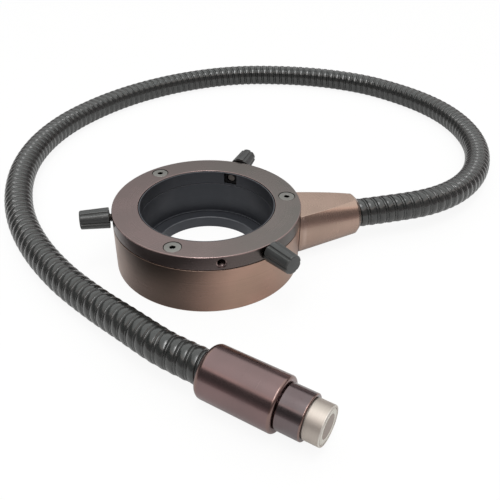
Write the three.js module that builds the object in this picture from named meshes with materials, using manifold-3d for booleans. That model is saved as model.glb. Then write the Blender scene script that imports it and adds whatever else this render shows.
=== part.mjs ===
// Fibre-optic ring light for a stereo microscope: a ring head, a ribbed light conduit and the ferrule of a light source.
// Millimetres, +Z up. The head is built round the ring's axis with the neck along +X and its underside at z = 0.
// At the end the whole part is moved so that its origin is the middle of the underside of the head's bounding box.
import * as THREE from "three";
import { mergeVertices } from "three/addons/utils/BufferGeometryUtils.js";
import Module from "manifold-3d";

const wasm = await Module();
wasm.setup();

// Clearances and cutting allowances
const seatGap = 0.3; // between two pieces that seat on each other
const seamGap = 0.3; // the visible seam between the housing and the clamp ring
const cutOverrun = 4; // how far a cutting tool runs past what it cuts

// Ring housing
const ringDiameter = 90.7;
const housingHeight = 22.85;
const housingWall = 2;
const housingFloor = 3;
const housingEdge = 0.5;
const bossDiameter = 7;
const bossHeight = 8;
const fibreHoleDiameter = 12.4;

// Inner sleeve and the ring of fibre ends
const sleeveBoreDiameter = 64.4;
const sleeveWall = 1.5;
const apertureDiameter = 51.2;
const lipHeight = 6;
const lipEdge = 0.5;
const sleeveFootDiameter = 59.6;
const sleeveTaperHeight = 9;
const fibreRingWidth = 2.2;
const fibreRingRecess = 0.4;
const fanFill = 0.707; // the share of the room under the neck's axis that the bed of fibres fills
const fanWallRoom = 0.95; // between the bed of fibres and the chamber's wall

// Clamp ring and its liner
const clampBoreDiameter = 66;
const clampHeight = 6.85;
const clampTopEdge = 0.5;
const clampBottomEdge = 0.25;
const linerWall = 0.5;
const clampTurnDegrees = -3.5; // the clamp ring is screwed down turned a little from the neck
const clampCopies = 3;

// Countersunk screws of the clamp ring
const clampScrewCircleDiameter = 79.1;
const clampScrewDiameter = 4;
const clampScrewHeadDiameter = 7.6;
const clampScrewHeadHeight = 2.1;
const clampScrewLength = 10;
const clampScrewSocketWidth = 2.5;
const clampScrewSocketDepth = 1.5;
const countersinkRimDiameter = 8.3;
const clampScrewSink = 0.12;

// Spare tapped holes in the side of the clamp ring
const spareHoleDiameter = 4.2;
const spareHoleDepth = 6;
const spareHoleMouthDiameter = 4.9;
const spareHoleMouthDepth = 0.4;
const spareHoleOffsetDegrees = -30;

// Thumbscrews
const studDiameter = 4;
const studNeckDiameter = 2.8;
const studTipLength = 0.8;
const studTipRecess = 1.05;
const studGripLength = 9;
const padWidth = 6.2;
const padHeight = 5.1;
const padThickness = 3.2;
const padRecess = 0.45; // from the liner's face to the pad's face, with the thumbscrew as photographed
const padOutwardTravel = 2.2;
const padInwardTravel = 0.75;
const knobLength = 13.7;
const knobInnerDiameter = 10.1;
const knobOuterDiameter = 9;
const knobEdge = 0.9;
const knobRecessDiameter = 7.4;
const knobRecessDepth = 1;
const knobFlutes = 6;
const knobFluteDepth = 0.55;
const knobFluteWidthShare = 0.34;
const knobPointsPerFlute = 5;

// Neck
const fibreHoleRoof = 3.45; // the wall left between the housing's top and its hole for the fibres
const neckEnd = 78.2;
const neckRootDiameter = 31.7; // at the housing's wall
const neckTipDiameter = 21;
const neckMouthDiameter = 17.4;
const neckChamfer = 1.8;
const neckFlatRise = 0.45; // from the housing's top to the flat
const conduitSocketDepth = 12;
const neckPassageDiameter = 10.6;

// Screws of the neck
const neckScrewMargin = 6.85; // from the side of the neck's root to a screw
const neckScrewRise = 3.8; // above the neck's axis
const neckScrewDiameter = 3;
const neckScrewHeadDiameter = 5.5;
const neckScrewHeadHeight = 2.4;
const neckScrewLength = 10;
const neckScrewSocketWidth = 2.5;
const neckScrewSocketDepth = 1.2;

// Set screws of the neck and the ferrule
const setScrewDiameter = 4;
const setScrewFromMouth = 6;
const setScrewSink = 0.4;
const setScrewSocketWidth = 2;
const setScrewSocketDepth = 1.2;

// Conduit and fibre bundle
const conduitDiameter = 14.9;
const conduitGroove = 0.6;
const conduitBoreDiameter = 11;
const conduitRibPitch = 5;
const conduitSides = 8;
const ribsPerBoreRing = 4;
const bundleDiameter = 9.2;

// Ferrule
const ferruleX = -18.1; // the middle of the sleeve's open end
const ferruleY = -89.9;
const ferruleTurnDegrees = -46;
const sleeveDiameter = 22.4;
const sleeveLength = 33;
const sleeveBackRound = 2.4;
const sleeveFrontRound = 1.2;
const sleeveSpigotBore = 16;
const bodyDiameter = 18.3;
const bodyLength = 10.6;
const bodyRound = 0.7;
const bodyBackRound = 0.4;
const bodyBore = 10.6;
const tipDiameter = 15.8;
const tipLength = 7;
const tipChamfer = 0.5;
const tipBore = 13.7;
const tipSpigotLength = 5;
const tipSpigotDiameter = 14.6;
const tipSocketDepth = 6;
const pottingBore = 10;
const pottingRecess = 0.15;
const fibreFaceDiameter = 9.4;
const fibreFaceLength = 9;

// Facets of a full turn
const ringSides = 48;
const coreSides = 48;
const neckSides = 36;
const ferruleSides = 32;
const holeSides = 16;
const screwSides = 16;
const arcSteps = 2;

// Worked out from the sizes above
const turn = 2 * Math.PI;
const half = 0.5;
const ringRadius = ringDiameter * half;
const clampBottom = housingHeight + seamGap;
const clampTop = clampBottom + clampHeight;
const clampMiddle = (clampBottom + clampTop) * half;
const neckAxisHeight = housingHeight - fibreHoleRoof - fibreHoleDiameter * half;
const neckFlatHeight = housingHeight + neckFlatRise;
const neckScrewHeight = neckAxisHeight + neckScrewRise;
const neckScrewSpacing = neckRootDiameter - 2 * neckScrewMargin;
const sleeveRadius = sleeveBoreDiameter * half;
const sleeveOuterRadius = sleeveRadius + sleeveWall;
const clampBoreRadius = clampBoreDiameter * half;
const linerOuterRadius = clampBoreRadius - seatGap;
const linerInnerRadius = linerOuterRadius - linerWall;
const chamberRadius = ringRadius - housingWall;
const thumbscrewAzimuths = copies(clampCopies, clampCopies * 2);
const clampScrewAzimuths = copies(clampCopies, 0);
const conduitRadius = conduitDiameter * half;
const socketRadius = conduitRadius + seatGap;
const neckShoulder = neckEnd - conduitSocketDepth;

// The azimuths of evenly spaced copies; the first is turned by one part in `shift` of a full turn.
function copies(count, shift) {
  const start = shift ? turn / shift : 0;
  return Array.from({ length: count }, (_, i) => start + (i * turn) / count);
}

// A geometry as a solid for joining and cutting.
function solidOf(geometry) {
  const bare = geometry.clone();
  bare.deleteAttribute("normal");
  bare.deleteAttribute("uv");
  const merged = mergeVertices(bare, 1e-4);
  return new wasm.Manifold(
    new wasm.Mesh({
      numProp: 3,
      vertProperties: merged.attributes.position.array,
      triVerts: new Uint32Array(merged.index.array),
    }),
  );
}

// A solid as a geometry.
function geometryOf(solid) {
  const mesh = solid.getMesh();
  const geometry = new THREE.BufferGeometry();
  geometry.setAttribute("position", new THREE.BufferAttribute(mesh.vertProperties, 3));
  geometry.setIndex(new THREE.BufferAttribute(mesh.triVerts, 1));
  return geometry;
}

// A body with every tool taken away from it.
function cut(body, ...tools) {
  return geometryOf(tools.reduce((rest, tool) => rest.subtract(solidOf(tool)), solidOf(body)));
}

// Bodies joined into one.
function join(...bodies) {
  return geometryOf(bodies.map(solidOf).reduce((all, next) => all.add(next)));
}

// What two bodies have in common.
function common(first, second) {
  return geometryOf(solidOf(first).intersect(solidOf(second)));
}

// A closed outline of [radius, height] points, turned round the Z axis. The outline may run either way round.
function revolve(outline, sides) {
  const area = outline.reduce((sum, [r, z], i) => {
    const [nextR, nextZ] = outline[(i + 1) % outline.length];
    return sum + r * nextZ - nextR * z;
  }, 0);
  const ordered = area > 0 ? outline : [...outline].reverse();
  const points = ordered.map(([r, z]) => new THREE.Vector2(r, z));
  const onAxis = points.findIndex((p, i) => p.x === 0 && points[(i + 1) % points.length].x === 0);
  const loop = onAxis < 0 ? points : [...points.slice(onAxis + 1), ...points.slice(0, onAxis + 1)];
  if (onAxis < 0) loop.push(points[0].clone());
  return new THREE.LatheGeometry(loop, sides).rotateX(turn / 4);
}

// A rod along +Z from one height to another.
function rod(diameter, from, to, sides = holeSides) {
  const radius = diameter * half;
  return revolve([[0, from], [radius, from], [radius, to], [0, to]], sides);
}

// A prism of even sides along +Z, such as a hex socket, measured across its flats.
function prism(width, from, to, sides) {
  return rod(width / Math.cos(turn * half / sides), from, to, sides);
}

// A box from one corner to the other.
function block([x0, y0, z0], [x1, y1, z1]) {
  const box = new THREE.BoxGeometry(x1 - x0, y1 - y0, z1 - z0);
  return box.translate((x0 + x1) * half, (y0 + y1) * half, (z0 + z1) * half);
}

// A shape along +Z laid down so that it runs along +X at a height.
function laid(geometry, height) {
  return geometry.rotateY(turn / 4).translate(0, 0, height);
}

// A copy of a shape turned about the ring's axis.
function turned(geometry, angle) {
  return geometry.clone().rotateZ(angle);
}

// The points of a quarter round between two outline directions, from `start` round the centre to `end`.
function round(centre, radius, startAngle, endAngle) {
  return Array.from({ length: arcSteps + 1 }, (_, i) => {
    const angle = startAngle + ((endAngle - startAngle) * i) / arcSteps;
    return [centre[0] + radius * Math.sin(angle), centre[1] - radius * Math.cos(angle)];
  });
}

// Finishes
const finish = (color, roughness, metalness) => new THREE.MeshStandardMaterial({ color, roughness, metalness });
const copperAnodised = () => finish(0x9a7a68, 0.32, 0.9);
const brownAnodised = () => finish(0x7c6c6a, 0.45, 0.85);
const neckAnodised = () => finish(0xb59480, 0.35, 0.9);
const blackMetal = () => finish(0x2b2c2e, 0.55, 0.4);
const blackPlastic = () => finish(0x26272a, 0.42, 0);
const blackRubber = () => finish(0x151516, 0.8, 0);
const steel = () => finish(0xa3a5a0, 0.35, 1);
const paleMetal = () => finish(0xcfc4b8, 0.3, 0.9);
const creamResin = () => finish(0xd9d6c6, 0.55, 0);
const glassFibre = () => finish(0x9a8a7c, 0.4, 0);

const part = new THREE.Group();
const head = new THREE.Group();
const clamp = new THREE.Group();
const cord = new THREE.Group();
const ferrule = new THREE.Group();
part.add(head, cord);
head.add(clamp);
cord.add(ferrule);
clamp.rotation.z = THREE.MathUtils.degToRad(clampTurnDegrees);

function piece(group, name, geometry, material) {
  const mesh = new THREE.Mesh(geometry, material);
  mesh.name = name;
  group.add(mesh);
  return mesh;
}

// A screw along +Z with its head at the top of its own frame: an outline of revolution and a hex socket.
function socketScrew(outline, socketWidth, socketDepth) {
  const top = Math.max(...outline.map(([, z]) => z));
  const socket = prism(socketWidth, top - socketDepth, top + cutOverrun, 6);
  return cut(revolve(outline, screwSides), socket);
}

// The countersunk screw, with its top at z = 0.
function countersunkScrew() {
  const radius = clampScrewDiameter * half;
  const headRadius = clampScrewHeadDiameter * half;
  const rim = clampScrewHeadHeight - (headRadius - radius);
  const outline = [
    [0, 0],
    [headRadius, 0],
    [headRadius, -rim],
    [radius, -clampScrewHeadHeight],
    [radius, -clampScrewLength],
    [0, -clampScrewLength],
  ];
  return socketScrew(outline, clampScrewSocketWidth, clampScrewSocketDepth);
}

// The place of a tapped boss, and the clearance cut for its screw.
function clampScrewHole(from, to) {
  return rod(clampScrewDiameter + 2 * seatGap, from, to).translate(clampScrewCircleDiameter * half, 0, 0);
}

// The housing: a channel of wall and floor, with bosses on its wall and the openings towards the neck.
function housing() {
  const footRadius = sleeveFootDiameter * half + fibreRingWidth + 2 * seatGap;
  const footRise = fibreRingOuterRise(housingFloor);
  const shell = revolve([
    [footRadius, 0],
    [ringRadius - housingEdge, 0],
    [ringRadius, housingEdge],
    [ringRadius, housingHeight],
    [chamberRadius, housingHeight],
    [chamberRadius, housingFloor],
    [footRadius + footRise, housingFloor],
  ], ringSides);
  const bossRadius = bossDiameter * half;
  const bossTop = housingHeight;
  const bosses = clampScrewAzimuths.map((azimuth) => {
    const post = rod(bossDiameter, bossTop - bossHeight, bossTop);
    const reach = chamberRadius + housingWall * half;
    const web = block(
      [0, -bossRadius, bossTop - bossHeight],
      [reach - clampScrewCircleDiameter * half, bossRadius, bossTop],
    );
    const boss = join(post, web).translate(clampScrewCircleDiameter * half, 0, 0);
    return turned(boss, azimuth + clamp.rotation.z);
  });
  const bossHoles = clampScrewAzimuths.map((azimuth) =>
    turned(clampScrewHole(bossTop - bossHeight - cutOverrun, bossTop + cutOverrun), azimuth + clamp.rotation.z),
  );
  const fibreHole = laid(rod(fibreHoleDiameter, sleeveOuterRadius, ringRadius + cutOverrun, neckSides), neckAxisHeight);
  const screwHoles = neckScrewPlaces().map(([y, z]) =>
    laid(rod(neckScrewDiameter + 2 * seatGap, sleeveOuterRadius, ringRadius + cutOverrun), z).translate(0, y, 0),
  );
  const headRoom = neckScrewPlaces().map(([y, z]) =>
    laid(rod(neckScrewHeadDiameter + 2 * seatGap, sleeveOuterRadius, neckScrewBack()), z).translate(0, y, 0),
  );
  return cut(join(shell, ...bosses), ...bossHoles, fibreHole, ...screwHoles, ...headRoom);
}

// How far the sloping foot of the sleeve, and all that follows it, moves outwards over a height.
function fibreRingOuterRise(height) {
  return ((sleeveOuterRadius - sleeveFootDiameter * half) * height) / sleeveTaperHeight;
}

// The two screws of the neck, as [y, z] places.
function neckScrewPlaces() {
  return [1, -1].map((side) => [side * neckScrewSpacing * half, neckScrewHeight]);
}

// The inner sleeve: the black wall of the bore, its ledge and the narrower lip over the aperture.
function innerSleeve() {
  const apertureRadius = apertureDiameter * half;
  return revolve([
    [apertureRadius, 0],
    [sleeveFootDiameter * half, 0],
    [sleeveOuterRadius, sleeveTaperHeight],
    [sleeveOuterRadius, housingHeight],
    [sleeveRadius, housingHeight],
    [sleeveRadius, lipHeight],
    [apertureRadius + lipEdge, lipHeight],
    [apertureRadius, lipHeight - lipEdge],
  ], coreSides);
}

// The potted ring of fibre ends, which slopes with the foot of the sleeve so that the light crosses below the ring.
function fibreRing() {
  const foot = sleeveFootDiameter * half + seatGap;
  const low = fibreRingOuterRise(fibreRingRecess);
  const high = fibreRingOuterRise(housingFloor);
  return revolve([
    [foot + low, fibreRingRecess],
    [foot + low + fibreRingWidth, fibreRingRecess],
    [foot + high + fibreRingWidth, housingFloor],
    [foot + high, housingFloor],
  ], coreSides);
}

// The loose fibres: a bed on the floor of the chamber and the run that comes in from the neck.
function fibreFan() {
  const bottom = housingFloor + seatGap;
  const top = bottom + (neckAxisHeight - bottom) * fanFill;
  const inner = Math.max(sleeveOuterRadius, sleeveFootDiameter * half) + seatGap;
  const outer = chamberRadius - fanWallRoom;
  const bed = revolve([
    [inner, bottom],
    [outer, bottom],
    [outer, top],
    [inner, top],
  ], coreSides);
  const run = laid(
    rod(bundleDiameter, (inner + outer) * half, neckShoulder - conduitSocketDepth, holeSides),
    neckAxisHeight,
  );
  return join(bed, run);
}

piece(head, "ring_housing", housing(), copperAnodised());
piece(head, "inner_sleeve", innerSleeve(), blackMetal());
piece(head, "fibre_ring", fibreRing(), glassFibre());
piece(head, "fibre_fan", fibreFan(), glassFibre());

// The neck: a taper with a flat milled on top and another level with the underside, saddled on the housing.
function neck() {
  const body = laid(revolve([
    [0, ringRadius * half],
    [neckRootDiameter * half, ringRadius * half],
    [neckRootDiameter * half, ringRadius],
    [neckTipDiameter * half, neckEnd - neckChamfer],
    [neckMouthDiameter * half, neckEnd],
    [0, neckEnd],
  ], neckSides), neckAxisHeight);
  const reach = neckRootDiameter;
  const slab = block([0, -reach, 0], [neckEnd + cutOverrun, reach, neckFlatHeight]);
  const saddle = rod(2 * (ringRadius + seatGap), -cutOverrun, neckFlatHeight + cutOverrun, ringSides);
  const socket = laid(
    rod(2 * socketRadius, neckShoulder, neckEnd + cutOverrun, ferruleSides),
    neckAxisHeight,
  );
  const passage = laid(rod(neckPassageDiameter, 0, neckEnd, ferruleSides), neckAxisHeight);
  const screwHoles = neckScrewPlaces().map(([y, z]) =>
    laid(rod(neckScrewDiameter + 2 * seatGap, 0, neckScrewBack() + neckScrewLength + seatGap), z).translate(0, y, 0),
  );
  const setHole = rod(setScrewDiameter + 2 * seatGap, -cutOverrun, neckAxisHeight, screwSides)
    .translate(neckEnd - setScrewFromMouth, 0, 0);
  return cut(common(body, slab), saddle, socket, passage, ...screwHoles, setHole);
}

// Where the heads of the neck's screws bear on the inside of the housing's wall.
function neckScrewBack() {
  const flat = chamberRadius * Math.cos(turn * half / ringSides);
  const edge = (neckScrewSpacing + neckScrewHeadDiameter) * half;
  return Math.sqrt(flat ** 2 - edge ** 2) - seatGap;
}

// A cap screw laid along +X, with the underside of its head at x = 0 and its head behind it.
function capScrew() {
  const radius = neckScrewDiameter * half;
  const headRadius = neckScrewHeadDiameter * half;
  const outline = [
    [0, neckScrewHeadHeight],
    [headRadius, neckScrewHeadHeight],
    [headRadius, 0],
    [radius, 0],
    [radius, -neckScrewLength],
    [0, -neckScrewLength],
  ];
  return socketScrew(outline, neckScrewSocketWidth, neckScrewSocketDepth).rotateY(-turn / 4);
}

// A set screw along +Z, from its socket end at z = 0 upwards.
function setScrew(length) {
  const socket = prism(setScrewSocketWidth, -cutOverrun, setScrewSocketDepth, 6);
  return cut(rod(setScrewDiameter, 0, length, screwSides), socket);
}

piece(head, "light_guide_neck", neck(), neckAnodised());
neckScrewPlaces().forEach(([y, z], i) => {
  const screw = piece(head, `neck_screw_${i + 1}`, capScrew(), steel());
  screw.position.set(neckScrewBack(), y, z);
});

// The height of the neck's underside at a place along it.
function neckUnderside(x) {
  const slope = (neckRootDiameter - neckTipDiameter) * half / (neckEnd - neckChamfer - ringRadius);
  return neckAxisHeight - (neckRootDiameter * half - slope * (x - ringRadius));
}

const neckSetScrewX = neckEnd - setScrewFromMouth;
const neckSetScrewFoot = neckUnderside(neckSetScrewX) + setScrewSink;
const neckSetScrew = piece(
  head,
  "neck_set_screw",
  setScrew(neckAxisHeight - conduitRadius - seatGap - neckSetScrewFoot),
  steel(),
);
neckSetScrew.position.set(neckSetScrewX, 0, neckSetScrewFoot);

// The clamp ring: a flat ring with countersunk holes, radial thumbscrew holes that end in square pockets, spare holes.
function clampRing() {
  const ring = revolve([
    [clampBoreRadius, clampBottom],
    [ringRadius - clampBottomEdge, clampBottom],
    [ringRadius, clampBottom + clampBottomEdge],
    [ringRadius, clampTop - clampTopEdge],
    [ringRadius - clampTopEdge, clampTop],
    [clampBoreRadius, clampTop],
  ], ringSides);
  const rimRadius = countersinkRimDiameter * half;
  const holeRadius = clampScrewDiameter * half + seatGap;
  const countersunk = revolve([
    [0, clampTop + cutOverrun],
    [rimRadius, clampTop + cutOverrun],
    [rimRadius, clampTop - clampScrewSink],
    [holeRadius, clampTop - clampScrewSink - (rimRadius - holeRadius)],
    [holeRadius, clampBottom - cutOverrun],
    [0, clampBottom - cutOverrun],
  ], screwSides).translate(clampScrewCircleDiameter * half, 0, 0);
  const tapped = laid(
    rod(studDiameter + 2 * seatGap, clampBoreRadius * half, ringRadius + cutOverrun),
    clampMiddle,
  );
  const pocket = padSpace(clampBoreRadius * half, pocketFloor());
  const mouth = spareHoleMouthDiameter * half;
  const spare = laid(revolve([
    [0, ringRadius - spareHoleDepth],
    [spareHoleDiameter * half, ringRadius - spareHoleDepth],
    [spareHoleDiameter * half, ringRadius - spareHoleMouthDepth - (mouth - spareHoleDiameter * half)],
    [mouth, ringRadius - spareHoleMouthDepth],
    [mouth, ringRadius + cutOverrun],
    [0, ringRadius + cutOverrun],
  ], screwSides), clampMiddle);
  const spareTurn = THREE.MathUtils.degToRad(spareHoleOffsetDegrees);
  return cut(
    ring,
    ...clampScrewAzimuths.map((azimuth) => turned(countersunk, azimuth)),
    ...thumbscrewAzimuths.map((azimuth) => turned(tapped, azimuth)),
    ...thumbscrewAzimuths.map((azimuth) => turned(pocket, azimuth)),
    ...thumbscrewAzimuths.map((azimuth) => turned(spare, azimuth + spareTurn)),
  );
}

// The room of a pad, wider than the pad by the seat gap all round, between two distances from the ring's axis.
function padSpace(from, to) {
  const y = padWidth * half + seatGap;
  const z = padHeight * half + seatGap;
  return block([from, -y, clampMiddle - z], [to, y, clampMiddle + z]);
}

// The distance of the pad's face from the ring's axis, as photographed.
function padFace() {
  return linerInnerRadius + padRecess;
}

function pocketFloor() {
  return padFace() + padThickness + padOutwardTravel + seatGap;
}

// The black liner of the bore, with a window for each pad.
function clampLiner() {
  const band = revolve([
    [linerInnerRadius, clampBottom],
    [linerOuterRadius, clampBottom],
    [linerOuterRadius, clampTop - seatGap],
    [linerInnerRadius, clampTop - seatGap],
  ], coreSides);
  const windows = thumbscrewAzimuths.map((azimuth) =>
    turned(padSpace(linerInnerRadius * half, ringRadius), azimuth),
  );
  return cut(band, ...windows);
}

piece(clamp, "clamp_ring", clampRing(), brownAnodised());
piece(clamp, "clamp_liner", clampLiner(), blackMetal());
clampScrewAzimuths.forEach((azimuth, i) => {
  const screw = piece(clamp, `clamp_ring_screw_${i + 1}`, countersunkScrew(), steel());
  const radius = clampScrewCircleDiameter * half;
  screw.position.set(radius * Math.cos(azimuth), radius * Math.sin(azimuth), clampTop - clampScrewSink);
});

// One thumbscrew lies along +X of its own group, whose origin is on the ring's axis at the clamp ring's middle height.
const knobFace = ringRadius + padInwardTravel + seatGap;
const studTip = padFace() + studTipRecess;

// The stud: a tip and a neck that the pad snaps over, the thread and the end that the knob is moulded on.
function stud() {
  const radius = studDiameter * half;
  const neckRadius = studNeckDiameter * half;
  const neckStart = studTip + studTipLength;
  const neckEndX = padFace() + padThickness + seatGap;
  const end = knobFace + studGripLength;
  return revolve([
    [0, studTip],
    [radius, studTip],
    [radius, neckStart],
    [neckRadius, neckStart],
    [neckRadius, neckEndX],
    [radius, neckEndX],
    [radius, end],
    [0, end],
  ], screwSides).rotateY(turn / 4);
}

// The pad: a square block that holds the tip of the stud in a stepped hole and slides in its pocket.
function pad() {
  const y = padWidth * half;
  const z = padHeight * half;
  const face = padFace();
  const body = block([face, -y, -z], [face + padThickness, y, z]);
  const tipHole = laid(
    rod(studDiameter + 2 * seatGap, face - cutOverrun, studTip + studTipLength + seatGap, screwSides),
    0,
  );
  const neckHole = laid(
    rod(studNeckDiameter + 2 * seatGap, face, face + padThickness + cutOverrun, screwSides),
    0,
  );
  return cut(body, tipHole, neckHole);
}

// The knob: a fluted taper with rounded edges, as rings of points from its inner to its outer end.
function knob() {
  const sides = knobFlutes * knobPointsPerFlute;
  const inner = knobInnerDiameter * half;
  const outer = knobOuterDiameter * half;
  const radiusAt = (x) => inner + ((outer - inner) * x) / knobLength;
  const stations = [
    [0, radiusAt(0) - knobEdge * half],
    [knobEdge * half, radiusAt(knobEdge * half)],
    [knobLength - knobEdge, radiusAt(knobLength - knobEdge)],
    [knobLength - knobEdge * (1 - Math.SQRT1_2), radiusAt(knobLength) - knobEdge * (1 - Math.SQRT1_2)],
    [knobLength, radiusAt(knobLength) - knobEdge],
  ];
  const rings = stations.map(([x, radius]) =>
    Array.from({ length: sides }, (_, i) => {
      const angle = (i * turn) / sides;
      const r = radius - fluteDepth(angle);
      return new THREE.Vector3(knobFace + x, r * Math.cos(angle), r * Math.sin(angle));
    }),
  );
  const hole = laid(rod(studDiameter + 2 * seatGap, 0, knobFace + studGripLength + seatGap, screwSides), 0);
  const recess = laid(rod(knobRecessDiameter, 0, knobFace + knobRecessDepth), 0);
  return cut(loft(rings), hole, recess);
}

// How deep a flute is at an angle: a smooth hollow in the middle of each share of the turn.
function fluteDepth(angle) {
  const share = (angle * knobFlutes) / turn;
  const fromMiddle = Math.abs(share - Math.round(share)) / knobFluteWidthShare;
  return fromMiddle < 1 ? knobFluteDepth * Math.cos(fromMiddle * turn / 4) ** 2 : 0;
}

// A closed body through rings of as many points each, which run round +X by the right hand from low to high x.
function loft(rings) {
  const count = rings[0].length;
  const centre = (ring) => ring.reduce((sum, p) => sum.add(p), new THREE.Vector3()).divideScalar(count);
  const first = centre(rings[0]);
  const last = centre(rings.at(-1));
  const points = [...rings.flat(), first, last];
  const firstIndex = points.length - 2;
  const lastIndex = points.length - 1;
  const faces = [];
  rings.slice(1).forEach((_, k) => {
    for (let i = 0; i < count; i += 1) {
      const j = (i + 1) % count;
      const a = k * count + i;
      const b = k * count + j;
      faces.push(a, b, a + count, b, b + count, a + count);
    }
  });
  const end = (rings.length - 1) * count;
  for (let i = 0; i < count; i += 1) {
    const j = (i + 1) % count;
    faces.push(firstIndex, j, i);
    faces.push(lastIndex, end + i, end + j);
  }
  const geometry = new THREE.BufferGeometry().setFromPoints(points);
  geometry.setIndex(faces);
  return geometry;
}

thumbscrewAzimuths.forEach((azimuth, i) => {
  const thumbscrew = new THREE.Group();
  thumbscrew.rotation.z = azimuth;
  thumbscrew.position.z = clampMiddle;
  clamp.add(thumbscrew);
  piece(thumbscrew, `thumbscrew_pad_${i + 1}`, pad(), blackRubber());
  piece(thumbscrew, `thumbscrew_stud_${i + 1}`, stud(), steel());
  piece(thumbscrew, `thumbscrew_knob_${i + 1}`, knob(), blackPlastic());
});

// The conduit's route in the head's frame. It leaves the neck straight, comes down to the table, runs round behind the
// head and back along its left side, and rises a little into the ferrule, which lies on the table.
const ferruleTurn = THREE.MathUtils.degToRad(ferruleTurnDegrees);
const ferruleHeight = sleeveDiameter * half;
const ferruleAxis = new THREE.Vector3(Math.cos(ferruleTurn), Math.sin(ferruleTurn), 0);
const ferruleMouth = new THREE.Vector3(ferruleX, ferruleY, ferruleHeight);
const fromMouth = (distance) => ferruleMouth.clone().addScaledVector(ferruleAxis, distance);
const chosenRoute = [
  [118, 1.6, 12.9],
  [134.5, 6.6, 12.2],
  [150, 15.2, 11.3],
  [165, 28, 10.2],
  [178, 44, 9.2],
  [188.6, 62.5, 8.4],
  [195.8, 83, 7.8],
  [199, 104, 7.5],
  [197.8, 125, 7.5],
  [192, 146, 7.5],
  [181.5, 167, 7.5],
  [167, 187, 7.5],
  [148.5, 203, 7.5],
  [127, 215.5, 7.5],
  [103, 224.5, 7.5],
  [77.5, 230, 7.5],
  [52, 230, 7.5],
  [26, 225, 7.5],
  [0.5, 215.5, 7.5],
  [-23.5, 202, 7.5],
  [-46, 184, 7.5],
  [-65.5, 162.5, 7.5],
  [-80.5, 137, 7.5],
  [-90, 108.5, 7.5],
  [-93.6, 78, 7.5],
  [-91.5, 46, 7.5],
  [-83.8, 15.5, 7.5],
  [-71.4, -13.2, 7.6],
  [-57.4, -37, 8.4],
  [-45.5, -56, 10.4],
  [-33.6, -73.7, 11.5],
];
const route = [
  new THREE.Vector3(neckShoulder + seatGap, 0, neckAxisHeight),
  new THREE.Vector3(neckEnd, 0, neckAxisHeight),
  new THREE.Vector3(neckEnd + conduitDiameter, 0, neckAxisHeight),
  ...chosenRoute.map(([x, y, z]) => new THREE.Vector3(x, y, z)),
  fromMouth(-conduitDiameter),
  fromMouth(0),
  fromMouth(conduitSocketDepth - seatGap),
];
const routeCurve = new THREE.CatmullRomCurve3(route, false, "centripetal");
routeCurve.arcLengthDivisions = 4000;
const conduitLength = routeCurve.getLength();

// A ring of points square to the route at a share of its length.
function ringOnRoute(share, radius, sides) {
  const middle = routeCurve.getPointAt(share);
  const along = routeCurve.getTangentAt(share);
  const side = new THREE.Vector3(0, 0, 1).cross(along).normalize();
  const up = along.clone().cross(side);
  return Array.from({ length: sides }, (_, i) => {
    const angle = ((i + half) * turn) / sides;
    return middle
      .clone()
      .addScaledVector(side, radius * Math.cos(angle))
      .addScaledVector(up, radius * Math.sin(angle));
  });
}

// The ribbed conduit: an outer skin of crests and grooves, a plain bore inside it, and a flat end at each mouth.
function conduit() {
  const ribs = ribsPerBoreRing * Math.round(conduitLength / (conduitRibPitch * ribsPerBoreRing));
  const grooveRadius = conduitRadius - conduitGroove;
  const outer = Array.from({ length: 2 * ribs + 1 }, (_, i) =>
    ringOnRoute(i / (2 * ribs), i % 2 ? conduitRadius : grooveRadius, conduitSides),
  );
  const boreRings = ribs / ribsPerBoreRing;
  const bore = Array.from({ length: boreRings + 1 }, (_, i) =>
    ringOnRoute(i / boreRings, conduitBoreDiameter * half, conduitSides),
  );
  const points = [...outer.flat(), ...bore.flat()];
  const boreStart = outer.length * conduitSides;
  const faces = [];
  const skin = (rings, start, outward) => {
    for (let k = 0; k < rings - 1; k += 1) {
      for (let i = 0; i < conduitSides; i += 1) {
        const a = start + k * conduitSides + i;
        const b = start + k * conduitSides + ((i + 1) % conduitSides);
        const quad = [a, b, a + conduitSides, b, b + conduitSides, a + conduitSides];
        faces.push(...(outward ? quad : quad.reverse()));
      }
    }
  };
  const mouth = (outerStart, innerStart, forward) => {
    for (let i = 0; i < conduitSides; i += 1) {
      const j = (i + 1) % conduitSides;
      const quad = [outerStart + i, outerStart + j, innerStart + i, outerStart + j, innerStart + j, innerStart + i];
      faces.push(...(forward ? quad : quad.reverse()));
    }
  };
  skin(outer.length, 0, true);
  skin(bore.length, boreStart, false);
  mouth(0, boreStart, false);
  mouth((outer.length - 1) * conduitSides, boreStart + (bore.length - 1) * conduitSides, true);
  const geometry = new THREE.BufferGeometry().setFromPoints(points);
  geometry.setIndex(faces);
  return geometry;
}

// The fibre bundle: it starts behind the neck's socket, follows the route and ends behind the polished face.
function bundle() {
  const boreRings = Math.round(conduitLength / (conduitRibPitch * ribsPerBoreRing));
  const radius = bundleDiameter * half;
  const inside = Array.from({ length: boreRings + 1 }, (_, i) =>
    ringOnRoute(i / boreRings, radius, conduitSides),
  );
  const start = neckShoulder - conduitSocketDepth + seatGap;
  const end = sleeveLength + bodyLength + tipLength - fibreFaceLength - pottingRecess - seatGap;
  const back = inside[0].map((p) => new THREE.Vector3(start, p.y, p.z));
  const run = end - (conduitSocketDepth - seatGap);
  const front = inside.at(-1).map((p) => p.clone().addScaledVector(ferruleAxis, run));
  return loft([back, ...inside, front]);
}

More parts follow.
